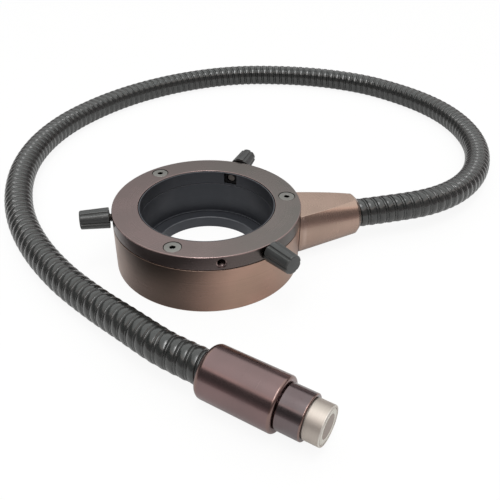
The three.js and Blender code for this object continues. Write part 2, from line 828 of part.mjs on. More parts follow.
// The least bend radius of the route, from three points a diameter apart at a time.
function leastBend() {
  const steps = Math.round(conduitLength / conduitDiameter);
  const line = routeCurve.getSpacedPoints(steps);
  return Math.min(...line.slice(2).map((c, i) => {
    const [a, b] = [line[i], line[i + 1]];
    const area = b.clone().sub(a).cross(c.clone().sub(a)).length();
    return (a.distanceTo(b) * b.distanceTo(c) * c.distanceTo(a)) / Math.max(2 * area, Number.EPSILON);
  }));
}

piece(cord, "light_conduit", conduit(), blackPlastic());
piece(cord, "fibre_bundle", bundle(), glassFibre());

// The ferrule lies along +X of its own group, with the sleeve's open end at x = 0.
ferrule.position.copy(ferruleMouth);
ferrule.rotation.z = ferruleTurn;
const bodyFront = sleeveLength + bodyLength;
const tipFront = bodyFront + tipLength;

// The sleeve: large rounded tube that holds the conduit's end at one side and the body's spigot at the other.
function ferruleSleeve() {
  const radius = sleeveDiameter * half;
  const spigotRadius = sleeveSpigotBore * half;
  const tube = revolve([
    [socketRadius, 0],
    ...round([radius - sleeveBackRound, sleeveBackRound], sleeveBackRound, 0, turn / 4),
    ...round(
      [radius - sleeveFrontRound, sleeveLength - sleeveFrontRound],
      sleeveFrontRound,
      turn / 4,
      turn / 2,
    ),
    [spigotRadius, sleeveLength],
    [spigotRadius, conduitSocketDepth],
    [socketRadius, conduitSocketDepth],
  ], ferruleSides).rotateY(turn / 4);
  const setHole = rod(setScrewDiameter + 2 * seatGap, -radius - cutOverrun, 0, screwSides)
    .translate(setScrewFromMouth, 0, 0);
  return cut(tube, setHole);
}

// The body: a spigot in the sleeve, a shoulder and the bore that passes the fibres to the tip.
function ferruleBody() {
  const spigot = sleeveSpigotBore * half - seatGap;
  const radius = bodyDiameter * half;
  const back = sleeveLength + seatGap;
  const tipSeat = tipSpigotDiameter * half + seatGap;
  return revolve([
    [bodyBore * half, conduitSocketDepth + seatGap],
    [spigot, conduitSocketDepth + seatGap],
    [spigot, back],
    ...round([radius - bodyBackRound, back + bodyBackRound], bodyBackRound, 0, turn / 4),
    ...round([radius - bodyRound, bodyFront - bodyRound], bodyRound, turn / 4, turn / 2),
    [tipSeat, bodyFront],
    [tipSeat, bodyFront - tipSocketDepth],
    [bodyBore * half, bodyFront - tipSocketDepth],
  ], ferruleSides).rotateY(turn / 4);
}

// The tip: the pale metal end that goes into the light source, with a spigot in the body.
function ferruleTip() {
  const radius = tipDiameter * half;
  return revolve([
    [tipBore * half, bodyFront - tipSpigotLength],
    [tipSpigotDiameter * half, bodyFront - tipSpigotLength],
    [tipSpigotDiameter * half, bodyFront + seatGap],
    [radius, bodyFront + seatGap],
    [radius, tipFront - tipChamfer],
    [radius - tipChamfer, tipFront],
    [tipBore * half, tipFront],
  ], ferruleSides).rotateY(turn / 4);
}

function ferrulePotting() {
  const radius = tipBore * half - seatGap;
  return revolve([
    [pottingBore * half, tipFront - fibreFaceLength],
    [radius, tipFront - fibreFaceLength],
    [radius, tipFront - pottingRecess],
    [pottingBore * half, tipFront - pottingRecess],
  ], ferruleSides).rotateY(turn / 4);
}

piece(ferrule, "ferrule_sleeve", ferruleSleeve(), brownAnodised());
piece(ferrule, "ferrule_body", ferruleBody(), brownAnodised());
piece(ferrule, "ferrule_tip", ferruleTip(), paleMetal());
piece(ferrule, "ferrule_potting", ferrulePotting(), creamResin());
piece(
  ferrule,
  "fibre_face",
  rod(fibreFaceDiameter, tipFront - fibreFaceLength, tipFront - pottingRecess, ferruleSides).rotateY(turn / 4),
  glassFibre(),
);
const sleeveSetScrew = piece(
  ferrule,
  "sleeve_set_screw",
  setScrew(ferruleHeight - conduitRadius - seatGap - setScrewSink),
  steel(),
);
sleeveSetScrew.position.set(setScrewFromMouth, 0, setScrewSink - ferruleHeight);

// The origin goes to the middle of the underside of the head.
head.updateMatrixWorld(true);
const headBox = new THREE.Box3().setFromObject(head, true);
const headMiddle = headBox.getCenter(new THREE.Vector3());
part.position.set(-headMiddle.x, -headMiddle.y, -headBox.min.z);

console.log(`head middle ${headMiddle.x.toFixed(3)}, ${headMiddle.y.toFixed(3)} from the ring's axis`);
console.log(`conduit ${conduitLength.toFixed(1)} mm long, least bend radius ${leastBend().toFixed(1)} mm`);

export default part;
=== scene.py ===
"""The visible model of a fibre-optic microscope ring light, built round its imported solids.

Shapes are worked out in millimetres in the frame of the ring: its axis is Z, its underside is at zero and the neck
points along +X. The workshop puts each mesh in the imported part's frame, in metres. Shapes that are turned about an
axis are made along their own +Z and laid down by a frame.
"""

from __future__ import annotations

import logging
import math
from collections.abc import Callable, Sequence
from dataclasses import dataclass, field, replace
from enum import Enum

import bpy
import numpy as np
from mathutils import Matrix, Vector

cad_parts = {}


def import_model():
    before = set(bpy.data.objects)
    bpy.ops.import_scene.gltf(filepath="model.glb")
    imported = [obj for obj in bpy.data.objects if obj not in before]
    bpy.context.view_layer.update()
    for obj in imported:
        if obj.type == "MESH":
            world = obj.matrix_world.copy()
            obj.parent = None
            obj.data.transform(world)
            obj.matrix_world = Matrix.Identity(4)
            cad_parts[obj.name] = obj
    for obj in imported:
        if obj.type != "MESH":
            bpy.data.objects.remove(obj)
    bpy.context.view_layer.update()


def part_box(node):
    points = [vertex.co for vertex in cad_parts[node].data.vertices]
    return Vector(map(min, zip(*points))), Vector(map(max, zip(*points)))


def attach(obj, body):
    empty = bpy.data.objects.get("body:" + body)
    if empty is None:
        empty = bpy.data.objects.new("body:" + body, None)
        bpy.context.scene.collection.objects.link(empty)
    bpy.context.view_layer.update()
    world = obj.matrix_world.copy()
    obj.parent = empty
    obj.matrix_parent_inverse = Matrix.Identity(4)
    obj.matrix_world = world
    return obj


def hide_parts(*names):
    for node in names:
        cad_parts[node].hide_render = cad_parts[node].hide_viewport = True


LOG = logging.getLogger("ring_light")
MILLIMETRE = 0.001
TURN = 2 * math.pi
THIRDS = (0, 120, 240)
PAST = 2.0  # how far a cutting shape reaches past the surface that it cuts
SET_SCREW_HOLE = 2.3
Array = np.ndarray
Colour = tuple[float, float, float]
Corners = Sequence[tuple[float, float, float]]
Socket = bpy.types.NodeSocket


# Shapes


@dataclass
class Shell:
    """A closed skin: points in millimetres, and faces as index arrays of one face size each."""

    points: Array
    faces: list[Array]

    def moved(self, frame: Matrix) -> Shell:
        """The same shell in another frame."""
        matrix = np.array(frame)
        return Shell(self.points @ matrix[:3, :3].T + matrix[:3, 3], self.faces)

    def joined(self, *others: Shell) -> Shell:
        """This shell and others as one set of points and faces, with nothing welded.

        Args:
            others: The shells to add.

        Returns:
            The joined shell.
        """
        points, faces = [self.points], list(self.faces)
        start = len(self.points)
        for other in others:
            faces += [f + start for f in other.faces]
            points.append(other.points)
            start += len(other.points)
        return Shell(np.vstack(points), faces)

    def copies(self, frames: Sequence[Matrix]) -> Shell:
        """The shell in each of some frames, as one."""
        return self.moved(frames[0]).joined(*(self.moved(frame) for frame in frames[1:]))

    def outward(self) -> Shell:
        """The shell with its faces turned outwards: the sum of the faces' signed volumes is made positive.

        Returns:
            The shell, with all its faces reversed if need be.
        """
        volume = 0.0
        for block in self.faces:
            first = self.points[block[:, 0]]
            for k in range(1, block.shape[1] - 1):
                second, third = self.points[block[:, k]], self.points[block[:, k + 1]]
                volume += float(np.einsum("ij,ij->", first, np.cross(second, third)))
        faces = self.faces if volume > 0 else [block[:, ::-1] for block in self.faces]
        return Shell(self.points, faces)


def outline(corners: Corners, closed: bool = True, steps: int = 6) -> Array:
    """A polygon with rounded corners: each corner gives way to an arc that is tangent to its two sides.

    Args:
        corners: (across, along, rounding radius) of each corner.
        closed: Whether the last corner joins the first. The ends of an open outline stay as they are.
        steps: The number of chords of each arc.

    Returns:
        The points, two numbers each.
    """
    plain = np.array(corners, float)
    found: list[Array] = []
    for k, (across, along, rounding) in enumerate(corners):
        here = np.array([across, along])
        if rounding <= 0 or (not closed and k in (0, len(corners) - 1)):
            found.append(here[None])
            continue
        before = plain[k - 1, :2] - here
        after = plain[(k + 1) % len(corners), :2] - here
        before, after = before / np.linalg.norm(before), after / np.linalg.norm(after)
        half_angle = math.acos(float(np.clip(before @ after, -1, 1))) / 2
        tangent = rounding / math.tan(half_angle)
        middle = before + after
        centre = here + middle / np.linalg.norm(middle) * rounding / math.sin(half_angle)
        start, end = here + before * tangent - centre, here + after * tangent - centre
        first, last = math.atan2(start[1], start[0]), math.atan2(end[1], end[0])
        sweep = (last - first + math.pi) % TURN - math.pi
        angles = first + sweep * np.linspace(0, 1, steps + 1)
        found.append(centre + rounding * np.stack([np.cos(angles), np.sin(angles)], 1))
    return np.vstack(found)


def loft(rings: Array, closed: bool = False) -> Shell:
    """A skin over rings of as many points each: four-sided faces between one ring and the next.

    Args:
        rings: Points as (ring, point, 3).
        closed: Whether the last ring joins the first. Otherwise each end is closed by a fan round its middle.

    Returns:
        The shell, with its faces outwards.
    """
    count, around = rings.shape[:2]
    points = rings.reshape(-1, 3)
    index = np.arange(count * around).reshape(count, around)
    low = index if closed else index[:-1]
    high = np.roll(index, -1, axis=0) if closed else index[1:]
    quads = np.stack([low, np.roll(low, -1, 1), np.roll(high, -1, 1), high], -1).reshape(-1, 4)
    faces = [quads]
    if not closed:
        points = np.vstack([points, rings[0].mean(0), rings[-1].mean(0)])
        bottom, top = len(points) - 2, len(points) - 1
        start, end = index[0], index[-1]
        fan_low = np.stack([np.full(around, bottom), np.roll(start, -1), start], -1)
        fan_high = np.stack([np.full(around, top), end, np.roll(end, -1)], -1)
        faces += [fan_low, fan_high]
    return Shell(points, faces).outward()


def circle(sides: int) -> Array:
    """The angles of evenly spaced points round a turn."""
    return np.arange(sides) * (TURN / sides)


def polar(radius: Array, height: Array, sides: int) -> Array:
    """Rings round the Z axis: each point lies at its radius times the cosine and the sine of its angle.

    Args:
        radius: The radii as (ring, 1) or (ring, point).
        height: The heights as (ring, 1).
        sides: The number of points of a ring.

    Returns:
        The points as (ring, point, 3).
    """
    angles = circle(sides)
    return np.stack([radius * np.cos(angles), radius * np.sin(angles), np.repeat(height, sides, 1)], -1)


def turned(shape: Array, sides: int, closed: bool = True) -> Shell:
    """An outline of (radius, height) points carried round the Z axis; an open one is closed by fans at its ends."""
    return loft(polar(shape[:, :1], shape[:, 1:], sides), closed)


def lathe(corners: Corners, sides: int, steps: int = 6) -> Shell:
    """A closed outline with rounded corners carried round the Z axis."""
    return turned(outline(corners, steps=steps), sides)


def rod(radius: float, start: float, end: float, sides: int = 64) -> Shell:
    """A plain round bar along +Z, for cutting."""
    return turned(np.array([[radius, start], [radius, end]]), sides, closed=False)


def block(low: Sequence[float], high: Sequence[float]) -> Shell:
    """A plain box, for cutting.

    Args:
        low: Its lowest corner.
        high: Its highest corner.

    Returns:
        The box.
    """
    (x0, y0, z0), (x1, y1, z1) = low, high
    foot = [[x0, y0, z0], [x1, y0, z0], [x1, y1, z0], [x0, y1, z0]]
    points = np.array(foot + [[x, y, z1] for x, y, _ in foot], float)
    faces = np.array([[0, 3, 2, 1], [4, 5, 6, 7], [0, 1, 5, 4], [1, 2, 6, 5], [2, 3, 7, 6], [3, 0, 4, 7]])
    return Shell(points, [faces]).outward()


def lying(azimuth: float = 0.0, origin: Sequence[float] = (0, 0, 0)) -> Matrix:
    """The frame, at an origin, of a shape made along +Z that lies level at an azimuth in degrees, its own +Y up."""
    lay = Matrix(((0, 0, 1, 0), (1, 0, 0, 0), (0, 1, 0, 0), (0, 0, 0, 1)))
    return Matrix.Translation(Vector(origin)) @ Matrix.Rotation(math.radians(azimuth), 4, "Z") @ lay


def upright(azimuth: float = 0.0, radius: float = 0.0, height: float = 0.0) -> Matrix:
    """The frame of an upright shape that stands at a distance from the ring's axis."""
    place = Matrix.Translation(Vector((radius, 0, height)))
    return Matrix.Rotation(math.radians(azimuth), 4, "Z") @ place


def hole_below(reach: float, along: float) -> Shell:
    """The hole of a set screw, from under a lying piece to its axis, at a distance along it."""
    frame = Matrix.Translation((0, 0, along)) @ Matrix.Rotation(-TURN / 4, 4, "X")
    return rod(SET_SCREW_HOLE, -reach - PAST, 0).moved(frame)


# Finishes


class Tree:
    """Adds and links nodes in one node tree."""

    def __init__(self, tree: bpy.types.NodeTree) -> None:
        """Takes the tree that the nodes go into."""
        self.tree = tree

    @classmethod
    def of(cls, owner: bpy.types.Material | bpy.types.World) -> Tree:
        """The tree of a material or a world, emptied.

        Args:
            owner: The material or the world.

        Returns:
            Its tree.
        """
        owner.use_nodes = True
        owner.node_tree.nodes.clear()
        return cls(owner.node_tree)

    def feed(self, socket: Socket, value: object) -> None:
        """Feeds an input.

        Args:
            socket: The input.
            value: The socket to link to it, or its own value.
        """
        if isinstance(value, bpy.types.NodeSocket):
            self.tree.links.new(value, socket)
        else:
            socket.default_value = value

    def node(self, kind: str, inputs: dict[str | int, object] | None = None, **settings: object) -> bpy.types.Node:
        """Adds a node.

        Args:
            kind: The node's type.
            inputs: Values or sockets for its inputs, by name or number.
            settings: Properties of the node.

        Returns:
            The node.
        """
        made = self.tree.nodes.new(kind)
        for key, value in settings.items():
            setattr(made, key, value)
        for key, value in (inputs or {}).items():
            self.feed(made.inputs[key], value)
        return made

    def math(self, operation: str, first: object, second: object = 0.0, clamp: bool = False) -> Socket:
        """The result of one sum on numbers."""
        return self.node("ShaderNodeMath", {0: first, 1: second}, operation=operation, use_clamp=clamp).outputs[0]

    def plus(self, first: object, second: object) -> Socket:
        """Two numbers added up."""
        return self.math("ADD", first, second)

    def times(self, first: object, second: object) -> Socket:
        """Two numbers multiplied."""
        return self.math("MULTIPLY", first, second)

    def vector(self, operation: str, *values: object) -> bpy.types.NodeOutputs:
        """The outputs of one sum on vectors."""
        return self.node("ShaderNodeVectorMath", dict(enumerate(values)), operation=operation).outputs

    def split(self, place: object) -> bpy.types.NodeOutputs:
        """The three parts of a vector."""
        return self.node("ShaderNodeSeparateXYZ", {0: place}).outputs

    def mix(self, share: object, first: object, second: object) -> Socket:
        """A blend of two colours.

        Args:
            share: The share of the second colour.
            first: The first colour, as a value or a socket.
            second: The second colour.

        Returns:
            The blend.
        """
        made = self.node("ShaderNodeMix", {0: share}, data_type="RGBA")
        for number, value in ((6, first), (7, second)):
            plain = isinstance(value, tuple) and len(value) == 3
            self.feed(made.inputs[number], (*value, 1.0) if plain else value)
        return made.outputs[2]

    def step(self, value: object, low: float, high: float, start: float = 0.0, end: float = 1.0) -> Socket:
        """A value that rises smoothly from one number to another between two limits."""
        inputs = {"Value": value, "From Min": low, "From Max": high, "To Min": start, "To Max": end}
        return self.node("ShaderNodeMapRange", inputs, interpolation_type="SMOOTHSTEP").outputs[0]

    def noise(self, at: object, scale: object, detail: float = 2.0, rough: float = 0.5, line: bool = False) -> Socket:
        """Noise from 0 to 1 over a place, or along a number where line is set."""
        inputs = {"W" if line else "Vector": at, "Scale": scale, "Detail": detail, "Roughness": rough}
        return self.node("ShaderNodeTexNoise", inputs, noise_dimensions="1D" if line else "3D").outputs[0]

    def bump(self, height: object, depth: float, strength: float) -> Socket:
        """The normals of a relief whose depth is given in millimetres."""
        inputs = {"Height": height, "Distance": depth * MILLIMETRE, "Strength": strength}
        return self.node("ShaderNodeBump", inputs).outputs[0]

    def background(self, glossy: float) -> Socket:
        """The mask of the rays that see the plain background.

        Args:
            glossy: How much of it glossy rays see. Camera and transmission rays see it whole.

        Returns:
            The mask.
        """
        path = self.node("ShaderNodeLightPath").outputs
        seen = self.math("MAXIMUM", path["Is Camera Ray"], self.times(path["Is Glossy Ray"], glossy))
        return self.math("MAXIMUM", seen, path["Is Transmission Ray"])

    def close(self, shader: bpy.types.Node) -> None:
        """Links a shader to the material's output."""
        self.node("ShaderNodeOutputMaterial", {"Surface": shader.outputs[0]})


@dataclass(frozen=True)
class Effect:
    """A shader group that several finishes share: its name, inputs with their plain values, and outputs."""

    name: str
    inputs: dict[str, float]
    outputs: tuple[str, ...]
    draw: Callable[[Tree, dict[str, Socket]], dict[str, Socket]]

    def group(self) -> bpy.types.NodeTree:
        """The group, which is drawn the first time that a finish needs it.

        Returns:
            The group, with the place in millimetres as its first input.
        """
        found = bpy.data.node_groups.get(self.name)
        if found:
            return found
        made = bpy.data.node_groups.new(self.name, "ShaderNodeTree")
        made.interface.new_socket("Place", in_out="INPUT", socket_type="NodeSocketVector")
        for name, value in self.inputs.items():
            made.interface.new_socket(name, in_out="INPUT", socket_type="NodeSocketFloat").default_value = value
        for name in self.outputs:
            made.interface.new_socket(name, in_out="OUTPUT", socket_type="NodeSocketFloat")
        tree = Tree(made)
        entry = tree.node("NodeGroupInput")
        results = self.draw(tree, {name: entry.outputs[name] for name in ("Place", *self.inputs)})
        tree.node("NodeGroupOutput", dict(results))
        return made

    def use(self, tree: Tree, **values: object) -> dict[str, Socket]:
        """Places the group in a material.

        Args:
            tree: The material's tree.
            values: Values or sockets for the group's inputs.

        Returns:
            The group's outputs by name.
        """
        made = tree.node("ShaderNodeGroup", node_tree=self.group())
        for name, value in values.items():
            tree.feed(made.inputs[name], value)
        return {name: made.outputs[name] for name in self.outputs}


def draw_lathe_marks(tree: Tree, given: dict[str, Socket]) -> dict[str, Socket]:
    """Grooves of a turning tool: noise along distance from the axis plus height, so they ring faces and walls alike.

    Args:
        tree: The group's tree.
        given: The place, and the pitch of the grooves in millimetres.

    Returns:
        The height of the grooves and a tone that swings about a half.
    """
    split = tree.split(given["Place"])
    squares = tree.plus(tree.times(split[0], split[0]), tree.times(split[1], split[1]))
    along = tree.plus(tree.math("SQRT", squares), split[2])
    fine = tree.noise(tree.math("DIVIDE", along, given["Pitch"]), 1.0, 3.0, 0.7, line=True)
    broad = tree.noise(tree.math("DIVIDE", along, given["Pitch"]), 0.13, 2.0, 0.6, line=True)
    drift = tree.noise(given["Place"], 0.09, 2.0, 0.5)
    tone = tree.plus(tree.times(fine, 0.45), tree.times(broad, 0.55))
    swing = tree.times(tree.math("SUBTRACT", tone, 0.5), tree.plus(drift, 0.4))
    return {"Height": fine, "Tone": tree.plus(swing, 0.5)}


def draw_handling(tree: Tree, given: dict[str, Socket]) -> dict[str, Socket]:
    """Uneven dye and handling: broad soft patches, and sparse specks from the cells of a fine random pattern.

    Args:
        tree: The group's tree.
        given: The place, and the scale of the patches.

    Returns:
        The masks of the patches and the specks.
    """
    wide = tree.noise(given["Place"], given["Scale"], 3.0, 0.55)
    cells = tree.node("ShaderNodeTexVoronoi", {"Vector": given["Place"], "Scale": 0.75, "Randomness": 1.0})
    lottery = tree.node("ShaderNodeSeparateColor", {0: cells.outputs["Color"]}).outputs[0]
    small = tree.step(cells.outputs["Distance"], 0.22, 0.12)
    chosen = tree.step(lottery, 0.93, 0.96)
    return {"Patches": tree.step(wide, 0.3, 0.7), "Specks": tree.times(small, chosen)}


def draw_edge_wear_and_highlight(tree: Tree, given: dict[str, Socket]) -> dict[str, Socket]:
    """Wear and painted highlight of an edge: the edge's own mask, broken up by noise so that some stretches are paler.
    """
    broken = tree.step(tree.noise(given["Place"], given["Scale"], 4.0, 0.65), 0.35, 0.62, 0.7, 1.0)
    return {"Mask": tree.math("MULTIPLY", given["Edge"], broken, clamp=True)}


def draw_grain(tree: Tree, given: dict[str, Socket]) -> dict[str, Socket]:
    """The fine even grain of an etched or moulded surface: noise at two scales, a finer one and a coarser one.

    Args:
        tree: The group's tree.
        given: The place, and the size of a grain in millimetres.

    Returns:
        The height of the grain and its tone.
    """
    scale = tree.math("DIVIDE", 1.0, given["Size"])
    fine = tree.noise(given["Place"], scale, 2.0, 0.6)
    coarse = tree.noise(given["Place"], tree.times(scale, 0.22), 2.0, 0.5)
    return {"Height": fine, "Tone": tree.plus(tree.times(fine, 0.7), tree.times(coarse, 0.3))}


LATHE_MARKS = Effect("lathe_marks", {"Pitch": 0.12}, ("Height", "Tone"), draw_lathe_marks)
HANDLING = Effect("handling", {"Scale": 0.04}, ("Patches", "Specks"), draw_handling)
# Paler edges: partly rubbed wear, partly a painted highlight along rounded edges.
EDGE_WEAR_AND_HIGHLIGHT = Effect("edge_rub", {"Edge": 0.0, "Scale": 0.35}, ("Mask",), draw_edge_wear_and_highlight)
GRAIN = Effect("grain", {"Size": 0.1}, ("Height", "Tone"), draw_grain)
# Painted tones: pure black for shade on walls, a dark grey for a dark reflection and near black for shade in sockets.
# The others are tool marks, dirt and dust.
PAINTED_SHADE_BLACK, MARK, DIRT = (0.0, 0.0, 0.0), (0.02, 0.015, 0.012), (0.05, 0.035, 0.03)
PAINTED_REFLECTION_GREY, PAINTED_SOCKET_BLACK, DUST = (0.02, 0.02, 0.02), (0.004, 0.004, 0.004), (0.22, 0.22, 0.21)
LEVEL = (1.0, 1.0, 0.0)  # times a place, it leaves out the height


class Coordinates(Enum):
    """Where a finish's pattern lies: in the ring's frame, or in the piece's own frame, kept as an attribute."""

    RING = "ring"
    OWN = "own"


@dataclass(frozen=True)
class Surface:
    """What every finish has: a colour, the place of its pattern, and the slot of the record where its name isn't it."""

    colour: Colour
    coordinates: Coordinates = field(default=Coordinates.OWN, kw_only=True)
    slot: str = field(default="", kw_only=True)

    def inputs(self, tree: Tree, place: Socket, edge: Socket) -> dict[str, object]:
        """The values and sockets that the finish gives its shader."""
        raise NotImplementedError

    def make(self, name: str, axis: Vector) -> bpy.types.Material:
        """The material.

        Args:
            name: Its name.
            axis: The ring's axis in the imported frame, in metres.

        Returns:
            The material.
        """
        material = bpy.data.materials.new(name)
        tree = Tree.of(material)
        if self.coordinates is Coordinates.OWN:
            place = tree.node("ShaderNodeAttribute", attribute_name="own_place").outputs["Vector"]
        else:
            shift = tuple(-v / MILLIMETRE for v in axis)
            source = tree.node("ShaderNodeTexCoord").outputs["Object"]
            inputs = {"Vector": source, "Location": shift, "Scale": (1 / MILLIMETRE,) * 3}
            place = tree.node("ShaderNodeMapping", inputs).outputs[0]
        edge = tree.node("ShaderNodeAttribute", attribute_name="edge").outputs["Fac"]
        tree.close(tree.node("ShaderNodeBsdfPrincipled", self.inputs(tree, place, edge)))
        return material


@dataclass(frozen=True)
class Anodised(Surface):
    """Turned and anodised aluminium: metal tinted by the dye, with tool marks, uneven dye, specks and pale edges of
    wear and painted highlight.

    The drift is how far either side of the middle, along X, the colour shifts from one tone to the other. The wall is
    the height under which the colour is darkened as painted shade, and the share of light left there. A painted dark
    reflection is set by its azimuth and the share left, and painted shade in a socket by the socket's radius.
    """

    second: Colour
    wear_and_highlight: Colour
    roughness: float = 0.3
    metal: float = 1.0
    pitch: float = 0.11
    grain: float = 0.09
    mark_depth: float = 0.007
    mark_tone: float = 0.07
    speck: float = 0.35
    coat: float = 0.12
    coat_roughness: float = 0.35
    drift: float = 0.0
    wall: tuple[float, float] = (0.0, 1.0)
    painted_dark_reflection: tuple[float, float] = (0.0, 1.0)
    painted_socket_shade: float = 0.0

    def dye_with_painted_light(self, tree: Tree, place: Socket, patches: Socket) -> Socket:
        """The colour, with what depends on the place: a drift in tone along X, painted shade on the wall, a painted
        dark reflection on one side and painted shade in a socket.

        Args:
            tree: The material's tree.
            place: The place in millimetres.
            patches: The mask of the uneven dye.

        Returns:
            The colour.
        """
        if self.drift:
            across = tree.step(tree.split(place)[0], -self.drift, self.drift, 0.0, 0.8)
            patches = tree.plus(tree.times(patches, 0.3), across)
        dye = tree.mix(patches, self.colour, self.second)
        (height, dim), (azimuth, left) = self.wall, self.painted_dark_reflection
        # Painted shade: below the wall height the colour is darkened towards black, for the shade on the ring's walls
        # below its top face.
        if dim < 1:
            dye = tree.mix(tree.step(tree.split(place)[2], height, height - 0.25, 0.0, 1 - dim), dye, PAINTED_SHADE_BLACK)
        # Painted reflection: a ragged dark patch on the side facing the azimuth, for the reflection of a darker floor
        # there.
        if left < 1:
            side = (math.cos(math.radians(azimuth)), math.sin(math.radians(azimuth)), 0.0)
            aim = tree.vector("NORMALIZE", tree.vector("MULTIPLY", place, LEVEL)[0])[0]
            near = tree.vector("DOT_PRODUCT", aim, side)["Value"]
            ragged = tree.plus(near, tree.times(tree.noise(place, 0.03, 2.0), 0.12))
            dye = tree.mix(tree.step(ragged, 0.72, 1.06, 0.0, 1 - left), dye, PAINTED_REFLECTION_GREY)
        # Painted shade: the inside of a socket is darkened to near black.
        if self.painted_socket_shade:
            off = tree.vector("LENGTH", tree.vector("MULTIPLY", place, LEVEL)[0])["Value"]
            deep = tree.step(tree.split(place)[2], -0.02, -0.2)
            dye = tree.mix(tree.times(tree.step(off, self.painted_socket_shade + 0.05, self.painted_socket_shade), deep), dye, PAINTED_SOCKET_BLACK)
        return dye

    def inputs(self, tree: Tree, place: Socket, edge: Socket) -> dict[str, object]:
        """The shader's inputs: dye darkened along the tool marks, specks, and pale metal on the edges as wear and
        painted highlight.

        Args:
            tree: The material's tree.
            place: The place in millimetres.
            edge: The mask of the edges.

        Returns:
            The values and sockets by name.
        """
        marks = LATHE_MARKS.use(tree, Place=place, Pitch=self.pitch)
        handled = HANDLING.use(tree, Place=place)
        wear_and_highlight = EDGE_WEAR_AND_HIGHLIGHT.use(tree, Place=place, Edge=edge)["Mask"]
        grain = GRAIN.use(tree, Place=place, Size=self.grain)
        dye = self.dye_with_painted_light(tree, place, handled["Patches"])
        lined = tree.mix(tree.step(marks["Tone"], 0.3, 0.7, 0.0, self.mark_tone), dye, MARK)
        specked = tree.mix(tree.times(handled["Specks"], self.speck), lined, DIRT)
        rough = tree.plus(tree.step(handled["Patches"], 0, 1, -0.02, 0.04), self.roughness)
        rough = tree.plus(rough, tree.step(marks["Tone"], 0.2, 0.8, -0.03, 0.03))
        height = tree.plus(tree.times(marks["Height"], 0.8), tree.times(grain["Height"], 0.35))
        # The edge colour is partly rubbed wear and partly a painted highlight.
        return {
            "Base Color": tree.mix(wear_and_highlight, specked, self.wear_and_highlight), "Metallic": self.metal, "Roughness": rough,
            "Normal": tree.bump(height, self.mark_depth, 0.6), "Coat Weight": self.coat,
            "Coat Roughness": self.coat_roughness,
        }


@dataclass(frozen=True)
class Moulded(Surface):
    """Moulded or extruded black plastic: a base tone with grain, faint lengthwise lines and paler edges of wear and
    painted highlight.
    """

    wear_and_highlight: Colour
    roughness: float = 0.35
    grain: float = 0.12
    depth: float = 0.01
    lines: float = 0.0
    gloss: float = 0.5
    coat: float = 0.0
    coat_roughness: float = 0.1

    def inputs(self, tree: Tree, place: Socket, edge: Socket) -> dict[str, object]:
        """The shader's inputs: a tone that follows the grain, pale specks of dust, and the paler edges of wear and
        painted highlight.

        Args:
            tree: The material's tree.
            place: The place in millimetres.
            edge: The mask of the edges.

        Returns:
            The values and sockets by name.
        """
        grain = GRAIN.use(tree, Place=place, Size=self.grain)
        handled = HANDLING.use(tree, Place=place, Scale=0.11)
        wear_and_highlight = EDGE_WEAR_AND_HIGHLIGHT.use(tree, Place=place, Edge=edge, Scale=0.6)["Mask"]
        base = tree.mix(tree.step(grain["Tone"], 0.3, 0.7), self.colour, tuple(c * 1.35 for c in self.colour))
        dusty = tree.mix(tree.times(handled["Specks"], 0.5), base, DUST)
        height = grain["Height"]
        if self.lines:
            long = tree.node("ShaderNodeMapping", {"Vector": place, "Scale": (2.2, 2.2, 0.03)}).outputs[0]
            height = tree.plus(height, tree.times(tree.noise(long, 1.0, 2.0), self.lines))
        # The edge colour is partly rubbed wear and partly a painted highlight.
        return {
            "Base Color": tree.mix(wear_and_highlight, dusty, self.wear_and_highlight),
            "Roughness": tree.plus(tree.step(handled["Patches"], 0, 1, -0.05, 0.07), self.roughness),
            "Normal": tree.bump(height, self.depth, 1.0), "Specular IOR Level": self.gloss,
            "Coat Weight": self.coat, "Coat Roughness": self.coat_roughness, "Coat IOR": 1.5,
        }


@dataclass(frozen=True)
class PottedFibre(Surface):
    """The ground ends of packed glass fibres or the resin round them: fine cells in a warm tone."""

    second: Colour
    cell: float = 0.06
    roughness: float = 0.3

    def inputs(self, tree: Tree, place: Socket, edge: Socket) -> dict[str, object]:
        """The shader's inputs: each cell has a tone of its own, with a soft cloud over all of them.

        Args:
            tree: The material's tree.
            place: The place in millimetres.
            edge: The mask of the edges, which isn't used here.

        Returns:
            The values and sockets by name.
        """
        cells = tree.node("ShaderNodeTexVoronoi", {"Vector": place, "Scale": 1 / self.cell}).outputs
        lottery = tree.node("ShaderNodeSeparateColor", {0: cells["Color"]}).outputs[0]
        tone = tree.plus(tree.times(lottery, 0.55), tree.times(tree.noise(place, 0.5, 3.0, 0.6), 0.5))
        return {
            "Base Color": tree.mix(tone, self.colour, self.second), "Roughness": self.roughness,
            "Normal": tree.bump(lottery, 0.002, 0.5),
        }


BARE_STEEL = Anodised(
    (0.30, 0.295, 0.28), (0.26, 0.255, 0.24), (0.42, 0.42, 0.40), roughness=0.36, pitch=0.2, coat=0.0, slot="steel"
)


